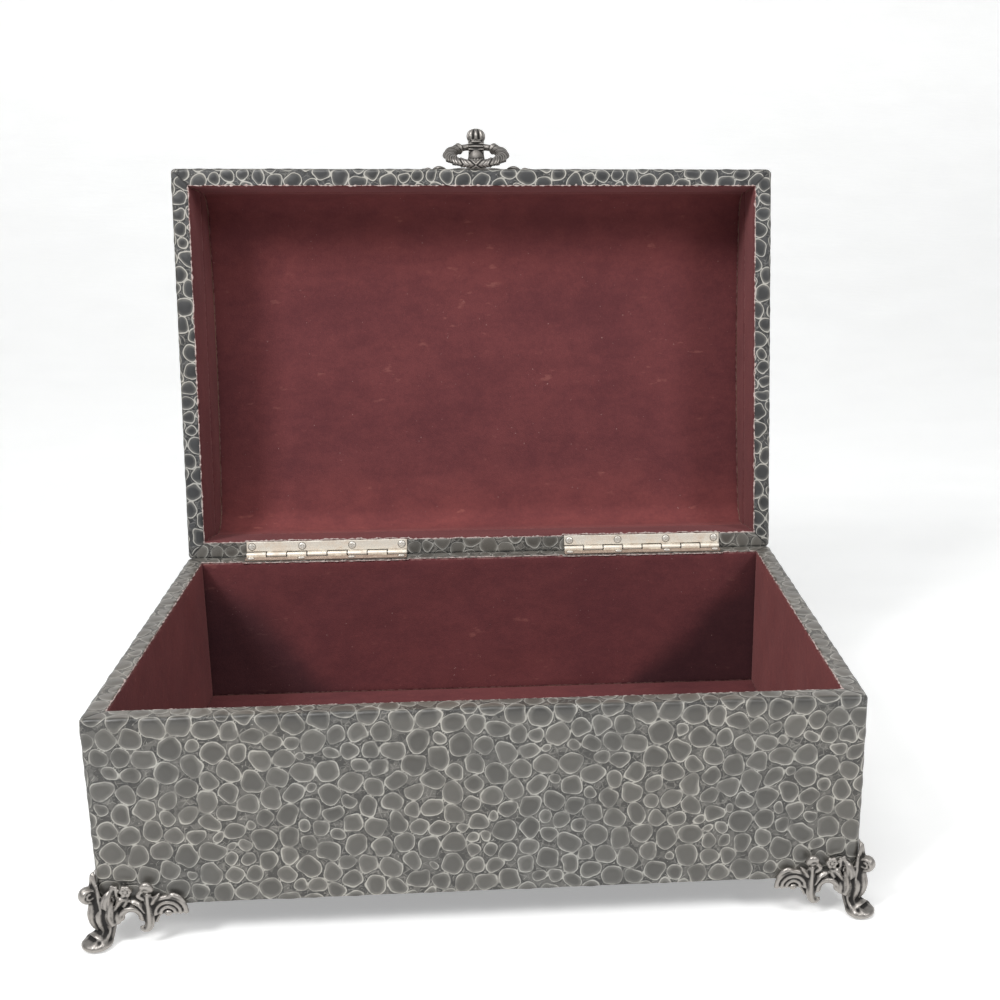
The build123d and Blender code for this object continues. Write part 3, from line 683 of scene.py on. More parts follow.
class CHEST_OT_covering(bpy.types.Operator):
    """Embossed covering of the box and the lid, turned in over both rims."""

    bl_idname = "chest.covering"
    bl_label = "Covering"

    def execute(self, context):
        self.leather = context.scene.chest_leather
        self.finish = leather_finish(self.leather)
        self.pebbles = lay_pebbles(self.leather)
        self.walls("box_covering", UNDER, RIM, "base", {"front": ("base_covering",)})
        self.walls("lid_covering", SPRING, LID_RIM, "lid", {})
        self.dome()
        for side, name in SIDES:
            self.end(side, name)
        return {"FINISHED"}

    def cover(self, name, outer, pattern, body, nodes=(), hold=1.0, seam=FAR, rim=0.0):
        """One piece of covering: an outer grid raised by the embossing, with a plain back.

        pattern gives each point's place on the embossed sheet, hold the share of relief that a
        point keeps, seam its distance to the nearest cut edge, and rim the painted shade on and
        next to the rims, or painted light below 0. The grid is turned to face away from the middle
        of its body."""
        hold, seam, rim = (np.broadcast_to(values, outer.shape[:2]) for values in (hold, seam, rim))
        foot, top = (UNDER, RIM) if body == "base" else (LID_RIM, SPRING)
        if np.sum(grid_normals(outer) * (outer - (0, MIDDLE, (foot + top) / 2))) < 0:
            outer, pattern, hold, seam, rim = (v[:, ::-1] for v in (outer, pattern, hold, seam, rim))
        outward = grid_normals(outer)
        ring, crease, shade = pebble_fields(pattern, self.pebbles, self.leather.tile / MM)
        relief = pebble_relief(ring, crease, self.leather.swell / MM) * hold
        raised = outer + outward * relief[..., None]
        if body == "lid":
            raised, outward = opened(raised), opened(outer + outward) - opened(outer)
        fields = {"ring": ring, "crease": crease, "shade": shade, "seam": seam, "rim": rim}
        piece = shell(name, raised, COVER_DEPTH, outward, fields)
        dress(piece, self.finish, "embossed_leather", body, *nodes)

    def walls(self, stem, low_z, rim_z, body, nodes):
        """Four walls of covering with mitred corners, each turned in over the rim."""
        step = self.leather.grid_step / MM
        profile = rim_profile(low_z, rim_z, step)
        inset, to_rim = profile[:, :1], np.abs(rim_z - profile[:, 1:])
        on_rim = ease(RIM_ROUND - 1.2, RIM_ROUND, inset)
        run = run_lengths(profile)[:, None]
        run = run if rim_z > low_z else LID_PATTERN - run
        # Painted shade on the walls just next to the rim's rounded edge.
        below = 0.55 * ease(6.5, 1.5, to_rim) * (1 - on_rim)
        inner = ease(BOARD_INSET + 0.1, BOARD_INSET - 1.2, inset)
        for side, wall in enumerate(WALLS):
            grid, s, to_mitre = wall_grid(side, profile, step)
            seam = np.where(on_rim > 0.5, to_mitre, FAR)
            if body == "lid" and side % 2 == 0:
                seam = np.minimum(seam, np.abs(np.abs(grid[..., 0]) - END_SEAM))
            near_edge = np.maximum(ease(8.0, 1.5, to_rim) * (1 - on_rim), ease(10.0, 2.0, to_mitre))
            keep = (1 - 0.50 * near_edge) * (1 - 0.45 * on_rim)
            keep = keep * (1 - on_rim * ease(1.5, 0.2, to_mitre)) * (0.15 + 0.85 * inner)
            # Painted light on the box's rim and the lid's back rim, painted shade on the lid's other
            # rims.
            rim_light_shade = -0.8 if body == "base" else -0.5 if wall == "back" else 1.2
            self.cover(
                f"{stem}_{wall}", grid, spread(s + perimeter_start(side), run), body,
                nodes.get(wall, ()), keep, seam, on_rim * rim_light_shade + below,
            )

    def dome(self):
        """Arch section carried from one end seam to the other."""
        step = self.leather.dome_step / MM
        points, _, run = arch(step)
        x = np.linspace(-END_SEAM, END_SEAM, math.ceil(2 * END_SEAM / step) + 1)
        self.cover(
            "lid_covering_dome", spread(x, points[:, :1], points[:, 1:]),
            spread(x, run[:, None] + LID_PATTERN), "lid", ("lid_dome_covering",),
            seam=END_SEAM - np.abs(x),
        )

    def end(self, side, name):
        """End of the lid above the spring line: from the seam on the dome, round the arch's edge
        and down the flat end to the spring line, where the columns spread along it."""
        step = self.leather.grid_step / MM
        outline, way, _ = arch(step)
        turn = np.radians(np.linspace(0, 90, 5))
        reach = END_SEAM + np.arange(0, HALF_WIDTH - CORNER_ROUND - END_SEAM + 0.01, 1.0)
        over_x = np.concatenate([reach[:-1], HALF_WIDTH - CORNER_ROUND * (1 - np.sin(turn))])
        over_inset = np.concatenate([np.zeros(len(reach) - 1), CORNER_ROUND * (1 - np.cos(turn))])
        run = np.concatenate([[0], np.cumsum(np.hypot(np.diff(over_x), np.diff(over_inset)))])
        edge = outline - CORNER_ROUND * way
        across = 2 * np.linspace(0, 1, len(outline)) - 1
        foot_half = HALF_DEPTH - CORNER_ROUND - 4
        foot = spread(MIDDLE + foot_half * across, SPRING)
        tall = np.linalg.norm(edge - foot, axis=1).max()
        fall = np.linspace(0, 1, math.ceil(tall / step) + 1)[1:, None, None]
        face = edge * (1 - fall) + foot * fall
        yz = np.concatenate([outline - over_inset[:, None, None] * way, face])
        x = np.concatenate([over_x, np.full(len(face), HALF_WIDTH)])[:, None] * side
        flat = np.concatenate([edge + way * (run[-1] - run)[:, None, None], face])
        start = perimeter_start(WALLS.index(name))
        sheet_x = start + side * (flat[..., 0] - MIDDLE)
        self.cover(
            f"lid_covering_{name}_end", spread(x, yz[..., 0], yz[..., 1]),
            spread(sheet_x, LID_PATTERN + (flat[..., 1] - SPRING)), "lid",
            (f"lid_{name}_end_covering",), seam=np.abs(x) - END_SEAM,
        )


# Velvet linings


def velvet_finish(velvet):
    """Glued velvet: wine red pile with brushed patches, a soft sheen and specks of lint."""
    f = Finish(
        "velvet", Sheen_Weight=0.26, Sheen_Roughness=0.45, Sheen_Tint=(0.95, 0.44, 0.43),
        Specular_IOR_Level=0.12, Roughness=0.92,
    )
    brushed = f.noise(0.045, 4.0, rough=0.6)
    stroke = f.noise(0.012, 3.0, f.place((1.0, 2.4, 1.7)))
    fibre = f.noise(0.0007, 2.0)
    tuft = f.noise(0.0026, 2.0)
    share = (brushed * 0.50 + stroke * 0.30 + tuft * 0.20).eased(0.34, 0.64)
    tone = f.blend(share, velvet.brushed_colour, velvet.pile_colour)
    scuff = f.noise(0.0045, 3.0, f.place((0.4, 1.0, 1.0), (0, 0, 0.5))).eased(0.62, 0.74)
    tone = f.blend(scuff * brushed.eased(0.5, 0.6) * 0.30, tone, (0.34, 0.13, 0.11))
    # flat is painted shade, darker and bluer where the field is above 0; raised is painted light, paler
    # where the field is below 0.
    flat = (f.field("nap") + (brushed - 0.5) * 0.3).eased(0.05, 1.0)
    tone = f.blend(flat * 0.85, tone, (0.36, 0.50, 0.56), "MULTIPLY")
    raised = (-f.field("nap")).eased(0.0, 0.8)
    tone = f.blend(raised, tone, (1.45, 1.38, 1.28), "MULTIPLY")
    tone = f.blend(fibre.eased(0.35, 0.7) * 0.45, tone, (1.32, 1.25, 1.25), "MULTIPLY")
    lint = f.noise(0.0016, 1.0).eased(0.745, 0.80) * f.noise(0.02, 2.0).eased(0.45, 0.6)
    tone = f.blend(lint * 0.55, tone, (0.42, 0.26, 0.24))
    worn = 1 - f.field("edge").eased(0.1, 1.1)
    tone = f.blend(worn * tuft.eased(0.35, 0.65) * 0.55, tone, (0.40, 0.24, 0.22))
    return f.put(Base_Color=tone, Normal=f.bump(fibre * 0.5 + tuft * 0.35 + stroke * 0.3, 0.0004, 0.6))


def finer_ends(length, step):
    """Places from 0 to length, close together near both ends."""
    inner = np.linspace(1.4, length - 1.4, max(2, math.ceil(length / step)))
    return np.concatenate([[0, 0.35, 0.8], inner, [length - 0.8, length - 0.35, length]])


class CHEST_OT_linings(bpy.types.Operator):
    """Velvet linings of the tray and the lid."""

    bl_idname = "chest.linings"
    bl_label = "Velvet linings"

    def execute(self, context):
        self.velvet = context.scene.chest_velvet
        self.finish = velvet_finish(self.velvet)
        self.step = self.velvet.grid_step / MM
        board_x = HALF_WIDTH - BOARD_INSET
        near, far = FRONT + INNER, BACK - INNER
        x = finer_ends(2 * board_x, self.step) - board_x
        y = finer_ends(far - near + 2 * LINING, self.step) + near - LINING
        self.card("lining_floor", spread(x, y[:, None], TRAY), (0, 0, 1.0), "base", 21)
        self.strips("lining", TRAY, RIM - LINING_DROP, "base", 31)
        self.strips("lid_lining", LID_RIM + LINING_DROP, STRIP_TOP, "lid", 41)
        self.dome()
        for side, name in SIDES:
            self.end(side, name)
        return {"FINISHED"}

    def card(self, name, grid, way, body, seed, nap=0.0):
        """Velvet on card: a grid whose surface is gently uneven and drops at its edges.

        way is the grid's direction into the room, and the last argument the painted shade on the
        card, or painted light below 0. The card stands for the frame's node of its name."""
        rows, columns = grid.shape[:2]
        runs = (run_lengths(grid[:, columns // 2])[:, None], run_lengths(grid[rows // 2]))
        edge = np.minimum(*(np.minimum(run, run.max() - run) for run in runs))
        wave = self.velvet.wave / MM * ripple(grid, 38.0, seed) * ease(0, 9, edge)
        drop = -0.45 * ease(1.3, 0.0, edge)
        way, nap = np.broadcast_to(way, grid.shape), np.broadcast_to(nap, edge.shape)
        front = grid + way * (wave + drop)[..., None]
        if np.sum(grid_normals(front) * way) < 0:
            front, way, edge, nap = (values[:, ::-1] for values in (front, way, edge, nap))
        if body == "lid":
            front, way = opened(front), opened(front + way) - opened(front)
        piece = shell(name, front, LINING - 0.05, way, {"edge": edge, "nap": nap}, 4, 50)
        dress(piece, self.finish, "velvet", body, name if body == "lid" else f"base_{name}")

    def strips(self, stem, low, high, body, seed):
        """Four upright cards: front and back over the full width, ends between them."""
        z = finer_ends(high - low, self.step)[:, None] + low
        wide, deep = HALF_WIDTH - BOARD_INSET, HALF_DEPTH - INNER
        for number, (name, way, half, reach) in enumerate((
            ("front", (0, 1.0, 0), wide, FRONT + INNER),
            ("back", (0, -1.0, 0), wide, BACK - INNER),
            ("left", (1.0, 0, 0), deep, -HALF_WIDTH + INNER),
            ("right", (-1.0, 0, 0), deep, HALF_WIDTH - INNER),
        )):
            run = finer_ends(2 * half, self.step) - half
            grid = spread(run, reach, z) if number < 2 else spread(reach, run + MIDDLE, z)
            nap = 0.0
            # Painted shadows in the back card's lower corners, where the end walls shade it; painted
            # light on the end cards, more on the right.
            if body == "base" and name == "back":
                to_end = HALF_WIDTH - INNER - np.abs(run)
                nap = ease(-22, 34, RIM - z - to_end + 6 * ripple(grid, 40.0, seed))
            elif body == "base" and number > 1:
                nap = -0.55 if name == "right" else -0.3
            self.card(f"{stem}_{name}", grid, way, body, seed + number, nap)

    def section(self, inset):
        """Arch at an inset with its short straight sides: points and outward directions (y, z)."""
        points, way, _ = arch(self.step, inset)
        half = HALF_DEPTH - inset
        lead = np.linspace(STRIP_TOP + CARD_GAP, SPRING, 4)[:-1]
        rows = np.concatenate([spread(MIDDLE - half, lead), points, spread(MIDDLE + half, lead[::-1])])
        return rows, np.concatenate([np.tile([-1.0, 0], (3, 1)), way, np.tile([1.0, 0], (3, 1))])

    def dome(self):
        """Inner arch section, with its short straight sides, carried from end to end."""
        points, ways = self.section(INNER)
        inner_x = HALF_WIDTH - INNER
        x = finer_ends(2 * inner_x, self.step) - inner_x
        grid = spread(x, points[:, :1], points[:, 1:])
        # Painted light on the low back haunch of the lid's arch and near its front edge.
        low_part = ease(SPRING + 26, SPRING + 6, grid[..., 2])
        nap = -0.8 * ease(BACK - 62, BACK - 38, grid[..., 1]) * low_part
        nap = nap - 0.4 * ease(FRONT + 95, FRONT + 45, grid[..., 1])
        inward = spread(0.0, -ways[:, :1], -ways[:, 1:])
        self.card("lid_lining_dome", grid, inward, "lid", 51, nap)

    def end(self, side, name):
        """D-shaped card: columns fall from the inner arch to the line of its foot."""
        top, _ = self.section(BOARD_INSET)
        foot_half, tall = HALF_DEPTH - BOARD_INSET - 3, 60.0
        across = np.linspace(-1, 1, len(top))
        foot = spread(MIDDLE + foot_half * across, STRIP_TOP + CARD_GAP)
        fall = finer_ends(tall, self.step)[:, None, None] / tall
        yz = top * (1 - fall) + foot * fall
        grid = spread(side * (HALF_WIDTH - INNER), yz[..., 0], yz[..., 1])
        self.card(f"lid_lining_{name}_end", grid, (-1.0 * side, 0, 0), "lid", 61)


# Frayed edges between covering and velvet


def frayed_finish(velvet):
    """Cut velvet edge with dried glue: pale threads, broken by dark pile."""
    f = Finish("frayed_edge", Specular_IOR_Level=0.2, Roughness=0.85)
    thread = f.noise(0.0013, 4.0, rough=0.7)
    patch = f.noise(0.011, 2.0)
    share = (thread * 0.6 + patch * 0.4).eased(0.36, 0.50)
    tone = f.blend(share, (0.24, 0.11, 0.10), velvet.frayed_colour)
    return f.put(Base_Color=tone, Normal=f.bump(thread, 0.0004, 0.9))


def frayed_loop(name, level, thick, finish, body, seed):
    """Ragged cord round a rectangular opening.

    A rectangle walked in steps of 0.8 mm carries a small round whose radius, height and inset
    wander at random, with single threads that stand out. Under the hinge leaves it sinks."""
    half = np.array([HALF_WIDTH, HALF_DEPTH]) - BOARD_INSET - 0.3
    path = walk(half * [(-1, -1), (1, -1), (1, 1), (-1, 1), (-1, -1)], 0.8)[:-1]
    rng = np.random.default_rng(seed)
    count = len(path)
    centre = path / np.maximum(np.abs(path / half).max(1), 1e-6)[:, None]
    inward = -unit(np.where(np.abs(path / half) > 0.9999, np.sign(path), 0.0))
    wander = 0.22 * ripple(np.column_stack([centre, np.zeros(count)]), 5.0, seed)
    radius = thick * (0.62 + 0.30 * ripple(centre, 3.0, seed + 1) + 0.28 * rng.uniform(-1, 1, count))
    radius = np.clip(radius, 0.08, thick * 1.5)
    turn = turns(6)[:, None]
    out = (wander + np.cos(turn) * radius * 0.85)[..., None] * inward
    to_hinge = np.min([np.abs(path[:, 0] - x) for x in HINGE_MIDDLES.values()], axis=0)
    under_leaf = (path[:, 1] > half[1] - 0.5) & (to_hinge < HINGE_LENGTH / 2 + 1)
    xy = path + out + under_leaf[:, None] * 0.75 * inward
    level = level - np.where(under_leaf, 0.55, 0.0) * (1 if body == "base" else -1)
    z = level + 0.10 * ripple(centre, 7.0, seed + 2) + np.sin(turn) * radius * 0.5
    grid = spread(xy[..., 0], xy[..., 1] + MIDDLE, z)
    points, quads, _ = closed(opened(grid) if body == "lid" else grid, wrap_columns=True)
    piece = build_mesh(name, points, quads[:, ::-1])
    face_outwards(piece)
    dress(piece, finish, "velvet", body)


class CHEST_OT_frayed_edges(bpy.types.Operator):
    """Ragged line of cut velvet and glue round both openings."""

    bl_idname = "chest.frayed_edges"
    bl_label = "Frayed edges"

    def execute(self, context):
        finish = frayed_finish(context.scene.chest_velvet)
        frayed_loop("frayed_edge_box", RIM - 0.35, 0.75, finish, "base", 71)
        frayed_loop("frayed_edge_lid", LID_RIM + 0.35, 0.8, finish, "lid", 81)
        return {"FINISHED"}


# Metal, boards and felt


def pewter_finish(metal):
    """Antique pewter: rubbed high places, dark hollows and a fine cast grain."""
    f = Finish("antique_pewter", Specular_IOR_Level=0.5)
    grain = f.noise(0.0006, 3.0)
    patch = f.noise(0.005, 3.0)
    hollow = f.field("hollow") + (patch - 0.5) * 0.35 + (grain - 0.5) * 0.25
    dark = hollow.eased(0.24, 0.70)
    high = 1 - hollow.eased(0.05, 0.38)
    tone = f.blend(dark, metal.pewter_colour, metal.tarnish_colour)
    tone = f.blend(high * 0.6, tone, toned(metal.pewter_colour, 1.35))
    tone = f.blend(patch.eased(0.5, 0.8) * 0.35, tone, (0.92, 0.86, 0.78), "MULTIPLY")
    return f.put(
        Base_Color=tone,
        Metallic=0.85 - dark * 0.55,
        Roughness=0.42 + dark * 0.35 - high * 0.08 + grain * 0.12,
        Normal=f.bump(grain * 0.6 + patch * 0.4, 0.0002, 0.6),
    )


def plated_finish(name, plate, tarnish, rough):
    """Plated steel with brushed lines, small scratches and spots of tarnish."""
    f = Finish(name, Specular_IOR_Level=0.5)
    brushed = f.noise(0.0009, 2.0, f.place((0.06, 1.0, 1.0)))
    patch = f.noise(0.006, 4.0, rough=0.65)
    spot = f.noise(0.0018, 2.0).eased(0.60, 0.72)
    stain = (patch.eased(0.44, 0.66) * 0.6 + spot * 0.5).least(1.0)
    tone = f.blend(stain * 0.7, plate, tarnish)
    tone = f.blend(brushed.eased(0.3, 0.7) * 0.35, tone, (0.80, 0.76, 0.72), "MULTIPLY")
    # Painted shade: the base's leaf is drawn darker and browner than the lid's.
    tone = f.blend(f.field("dull"), tone, (0.46, 0.38, 0.35), "MULTIPLY")
    # Painted shade, near black: at the leaves' edges, round and in the screw heads, at the knuckles' ends
    # and on the tongues.
    grime = (f.field("grime") + (patch - 0.5) * 0.4).eased(0.25, 0.9)
    tone = f.blend(grime * 0.85, tone, (0.060, 0.048, 0.036))
    return f.put(
        Base_Color=tone,
        Metallic=0.34 - stain * 0.2,
        Roughness=rough + brushed * 0.12 + stain * 0.22,
        Normal=f.bump(brushed * 0.7 + spot * 0.3, 0.00008, 0.5),
    )


def board_finish():
    """Thin plywood: long pale grain with darker pores."""
    f = Finish("casing_board", Specular_IOR_Level=0.3)
    grain = f.noise(0.004, 4.0, f.place((0.08, 1.0, 1.0)))
    pores = f.noise(0.0011, 2.0, f.place((0.05, 1.0, 1.0)))
    stops = [(0.30, (0.30, 0.19, 0.10)), (0.55, (0.47, 0.33, 0.19)), (0.75, (0.56, 0.42, 0.27))]
    tone = f.node("ShaderNodeValToRGB", {"stops": stops}, {0: grain})
    tone = f.blend(pores.eased(0.6, 0.75) * 0.5, tone, (0.16, 0.09, 0.05))
    return f.put(Base_Color=tone, Roughness=0.62 + pores * 0.1, Normal=f.bump(grain, 0.0002, 0.6))


def felt_finish():
    """Underside sheet of dark felt paper: matted fibres."""
    f = Finish(
        "underside_felt", Sheen_Weight=0.25, Sheen_Roughness=0.5, Specular_IOR_Level=0.15, Roughness=0.95
    )
    fibre = f.noise(0.0009, 4.0, rough=0.7)
    mat = f.noise(0.006, 3.0)
    share = (fibre * 0.6 + mat * 0.4).eased(0.35, 0.65)
    tone = f.blend(share, (0.012, 0.012, 0.014), (0.040, 0.038, 0.042))
    return f.put(Base_Color=tone, Normal=f.bump(fibre + mat * 0.5, 0.0004, 0.8))


class CHEST_OT_boards(bpy.types.Operator):
    """Finishes of the boards and the underside sheet."""

    bl_idname = "chest.boards"
    bl_label = "Boards and underside"

    def execute(self, context):
        boards = [n for n in frame["nodes"] if n.endswith(("_board", "_rail")) or n == "lid_dome_panel"]
        give(boards, board_finish())
        give(["base_underside_sheet"], felt_finish())
        return {"FINISHED"}


# Hinges


def rim_leaf(middle, seat, up):
    """Leaf plate on a rim, with rounded edges, and the painted shade at its edges and round its screws.
    """
    half, reach = LEAF_WIDTH / 2, HINGE_LENGTH / 2
    across = np.linspace(-half, half, 27)
    back = across[::-4]
    high = LEAF - 0.28 * ease(0.35, 0.0, half - np.abs(across))
    y = np.concatenate([across, back])[:, None]
    z = np.concatenate([high, np.full(len(back), 0.02)])[:, None]
    x = np.linspace(-reach, reach, 401)
    wave = 0.05 * ripple(x[:, None], 17.0, 7) * (z > 0.1)
    grime = np.maximum(ease(0.5, 0.0, half - np.abs(y)), ease(0.6, 0.0, reach - np.abs(x)))
    for step in SCREW_STEPS:
        apart = np.hypot(x - step, y)
        grime = np.maximum(grime, ease(0.35, 0.0, np.abs(apart - 2.35)))
    return *closed(spread(middle + x, SCREW_Y + y, seat + up * (z + wave))), grime.ravel()


def knuckle(start, end):
    """Rolled knuckle round the hinge pin, bored through, with painted shade at both ends."""
    radius, x = np.array([
        (KNUCKLE_BORE, start), (KNUCKLE - 0.4, start), (KNUCKLE - 0.08, start + 0.18),
        (KNUCKLE, start + 0.5), (KNUCKLE, (start + end) / 2), (KNUCKLE, end - 0.5),
        (KNUCKLE - 0.08, end - 0.18), (KNUCKLE - 0.4, end), (KNUCKLE_BORE, end),
    ]).T
    turn = turns(24)[:, None]
    grid = spread(x, HINGE_Y + radius * np.cos(turn), HINGE_Z + radius * np.sin(turn))
    grime = np.tile(ease(0.45, 0.1, np.minimum(x - start, end - x)), len(turn))
    return *closed(grid, wrap_columns=True), grime


def tongue(start, end, seat, up):
    """Strip of the leaf that reaches from its plate to a knuckle."""
    low, high = HINGE_Y - LEAF_SETBACK - 0.3, HINGE_Y - 1.05
    outline = [(low, 0.12), (high, 0.12), (high, LEAF - 0.05), (low, LEAF - 0.05)]
    grid = np.array([[(x, y, seat + up * z) for x in (start, end)] for y, z in outline])
    # Painted shade over the whole tongue.
    return *closed(grid), np.full(8, 0.55)


def screw_head(x, seat, up):
    """Domed screw head with a cross recess, on the leaf."""
    radius = np.array([0.0, 0.3, 0.45, 0.6, 0.85, 1.05, 1.2, 1.5, 1.8, 2.0, 2.1])[:, None]
    turn = turns(48)
    nearer = np.minimum(np.abs(radius * np.cos(turn)), np.abs(radius * np.sin(turn)))
    recess = ease(0.42, 0.26, nearer) * ease(1.3, 1.15, radius)
    height = 0.12 + 0.52 * (1 - (radius / 2.1) ** 2) - 0.5 * recess
    reach = np.maximum(radius, 0.02)
    grid = spread(x + reach * np.cos(turn), SCREW_Y + reach * np.sin(turn), seat + up * (LEAF + height))
    foot = grid[-1:].copy()
    foot[..., 2] = seat + up * (LEAF - 0.1)
    points, quads, (top, under) = tube(np.concatenate([grid, foot]))
    # Painted shade in the cross recess, at the head's rim and under it.
    grime = np.append(np.maximum(recess, ease(1.9, 2.1, radius)).ravel(), np.ones(len(turn)))
    return points, quads, [top[::-1], under], grime


class CHEST_OT_hinges(bpy.types.Operator):
    """Knuckle hinges: leaves on both rims, knuckles, screw heads, and the hidden steel."""

    bl_idname = "chest.hinges"
    bl_label = "Hinges"

    def execute(self, context):
        plating = context.scene.chest_metal.hinge_colour
        plate = plated_finish("hinge_metal", plating, (0.60, 0.46, 0.34), 0.36)
        steel = plated_finish("screw_metal", (0.86, 0.83, 0.77), (0.40, 0.35, 0.28), 0.28)
        hidden = ("hinge_screws", "_pin", "pull_nut", "pull_washer", "foot_pins")
        give([name for name in frame["nodes"] if name.endswith(hidden)], steel)
        pitch = HINGE_LENGTH / KNUCKLES
        for side, middle in HINGE_MIDDLES.items():
            for body, first, seat, up in (("base", 0, RIM, 1), ("lid", 1, LID_RIM, -1)):
                forms = [rim_leaf(middle, seat, up)]
                for number in range(first, KNUCKLES, 2):
                    start = middle - HINGE_LENGTH / 2 + number * pitch + KNUCKLE_GAP
                    end = start + pitch - 2 * KNUCKLE_GAP
                    forms += [knuckle(start, end), tongue(start, end, seat, up)]
                self.put(f"hinge_{side}_{body}", forms, body, plate, f"hinge_{side}_{body}_leaf")
                heads = [screw_head(middle + step, seat, up) for step in SCREW_STEPS]
                self.put(f"hinge_{side}_{body}_screw_heads", heads, body, steel)
        return {"FINISHED"}

    def put(self, name, forms, body, finish, *nodes):
        """One piece of the closed forms, turned open with the lid. The base's leaf gets painted shade."""
        points, quads, caps = gather([form[:3] for form in forms])
        if body == "lid":
            points = opened(points)
        grime = np.concatenate([form[3] for form in forms])
        dull = np.zeros(len(grime))
        # Painted shade on the base's leaf plate.
        if body == "base" and nodes:
            dull[:len(forms[0][0])] = 1
        piece = build_mesh(name, points, quads, caps, {"grime": grime, "dull": dull}, 35)
        face_outwards(piece)
        dress(piece, finish, "hinge_metal", body, *nodes)


# Castings


def curve(knots, count):
    """Smooth run of count rows through the knot rows, each pair joined by a cubic."""
    knots = np.asarray(knots, float)
    padded = np.concatenate([2 * knots[:1] - knots[1:2], knots, 2 * knots[-1:] - knots[-2:-1]])
    t = np.linspace(0, len(knots) - 1 - 1e-9, count)
    k = t.astype(int)
    f = (t - k)[:, None]
    a, b, c, d = padded[k], padded[k + 1], padded[k + 2], padded[k + 3]
    bend = 2 * a - 5 * b + 4 * c - d
    turn = 3 * b - 3 * c + d - a
    return 0.5 * (2 * b + (c - a) * f + bend * f**2 + turn * f**3)


def round_section(count):
    """Round of radius 1."""
    turn = turns(count)
    return spread(np.cos(turn), np.sin(turn))


def leaf_section(veins):
    """Domed leaf of half width 1 and height 1, with grooves between its veins and a flat back."""
    across = np.linspace(-1, 1, 8 * veins + 1)
    groove = 0.5 + 0.5 * np.cos(across * math.pi * veins)
    top = (1 - np.abs(across) ** 2.4) * (0.66 + 0.34 * groove)
    return np.concatenate([spread(across, top), spread(np.linspace(1, -1, 7)[1:-1], -0.35)])


SOFTENINGS = 14
THREAD, ROD, STOUT = round_section(10), round_section(14), round_section(20)
BLADE, TWIN, LEAVES = leaf_section(1), leaf_section(2), leaf_section(3)
BEVEL = np.array([
    (-1, -0.45), (-0.45, -1), (0.45, -1), (1, -0.45), (1, 0.45), (0.45, 1), (-0.45, 1), (-1, 0.45)
])


def sweep(rows, way, section, count=26):
    """Closed form: a section carried along a path.

    Rows hold a place, a half width and a height. The section's x runs across the path and its
    y along way, the direction that the form rises in."""
    run = curve(rows, count)
    path, width, height = run[:, :3], run[:, 3], run[:, 4]
    ahead = unit(np.gradient(path, axis=0))
    side = unit(np.cross(np.broadcast_to(np.asarray(way, float), path.shape), ahead))
    rise = unit(np.cross(ahead, side))
    across = (section[:, :1] * np.maximum(width, 0.05))[..., None]
    tall = (section[:, 1:] * np.maximum(height, 0.05))[..., None]
    return closed(path + side * across + rise * tall)


def arc_rows(centre, radius, start, end, level, width, height):
    """Rows of a band on an arc in the (a, h) face: centre and turns in degrees from along a."""
    turn = np.radians(np.linspace(start, end, 7))
    a, h = centre[0] + radius * np.cos(turn), centre[1] + radius * np.sin(turn)
    return spread(a, level, h, width, height)


def ball(centre, radii):
    """Ellipsoid about its centre, with closed caps near its two poles."""
    rise = np.radians(np.linspace(-88, 88, 19))[:, None]
    turn = turns(24)
    around = (np.cos(rise) * np.cos(turn) * radii[0], np.cos(rise) * np.sin(turn) * radii[1])
    return tube(spread(*around, np.sin(rise) * radii[2]) + np.asarray(centre, float))


def slab_form(outline, low, high):
    """Flat form: an outline in the (a, h) face between two levels."""
    a, h = np.asarray(outline, float).T
    return tube(spread(a, np.array([[low], [high]]), h))


def lathe(profile, ribs=0, groove=0.0, rib_from=0.0):
    """Turned form on the post's axis: rows are (radius, height), with ribs above a height."""
    radius, rise = curve(profile, 8 * len(profile)).T
    turn = turns(72)[:, None]
    if ribs:
        cut = groove * (0.5 - 0.5 * np.cos(turn * ribs)) ** 2 * ease(rib_from, rib_from + 1.5, rise)
        radius = radius * (1 - cut)
    across, other = (radius * np.cos(turn))[..., None], (radius * np.sin(turn))[..., None]
    return closed(PULL_FOOT + across * ACROSS + other * np.cross(OUT, ACROSS) + rise[:, None] * OUT)


def neighbour_mean(values, quads, count):
    """Mean of each point's neighbours along the sides of its faces."""
    one, other = quads.ravel(), np.roll(quads, -1, axis=1).ravel()
    ends, nexts = np.concatenate([one, other]), np.concatenate([other, one])
    shares = np.bincount(ends, minlength=count)
    sides = [np.bincount(ends, values[nexts, k], minlength=count) for k in range(values.shape[1])]
    return np.stack(sides, axis=1) / shares[:, None]


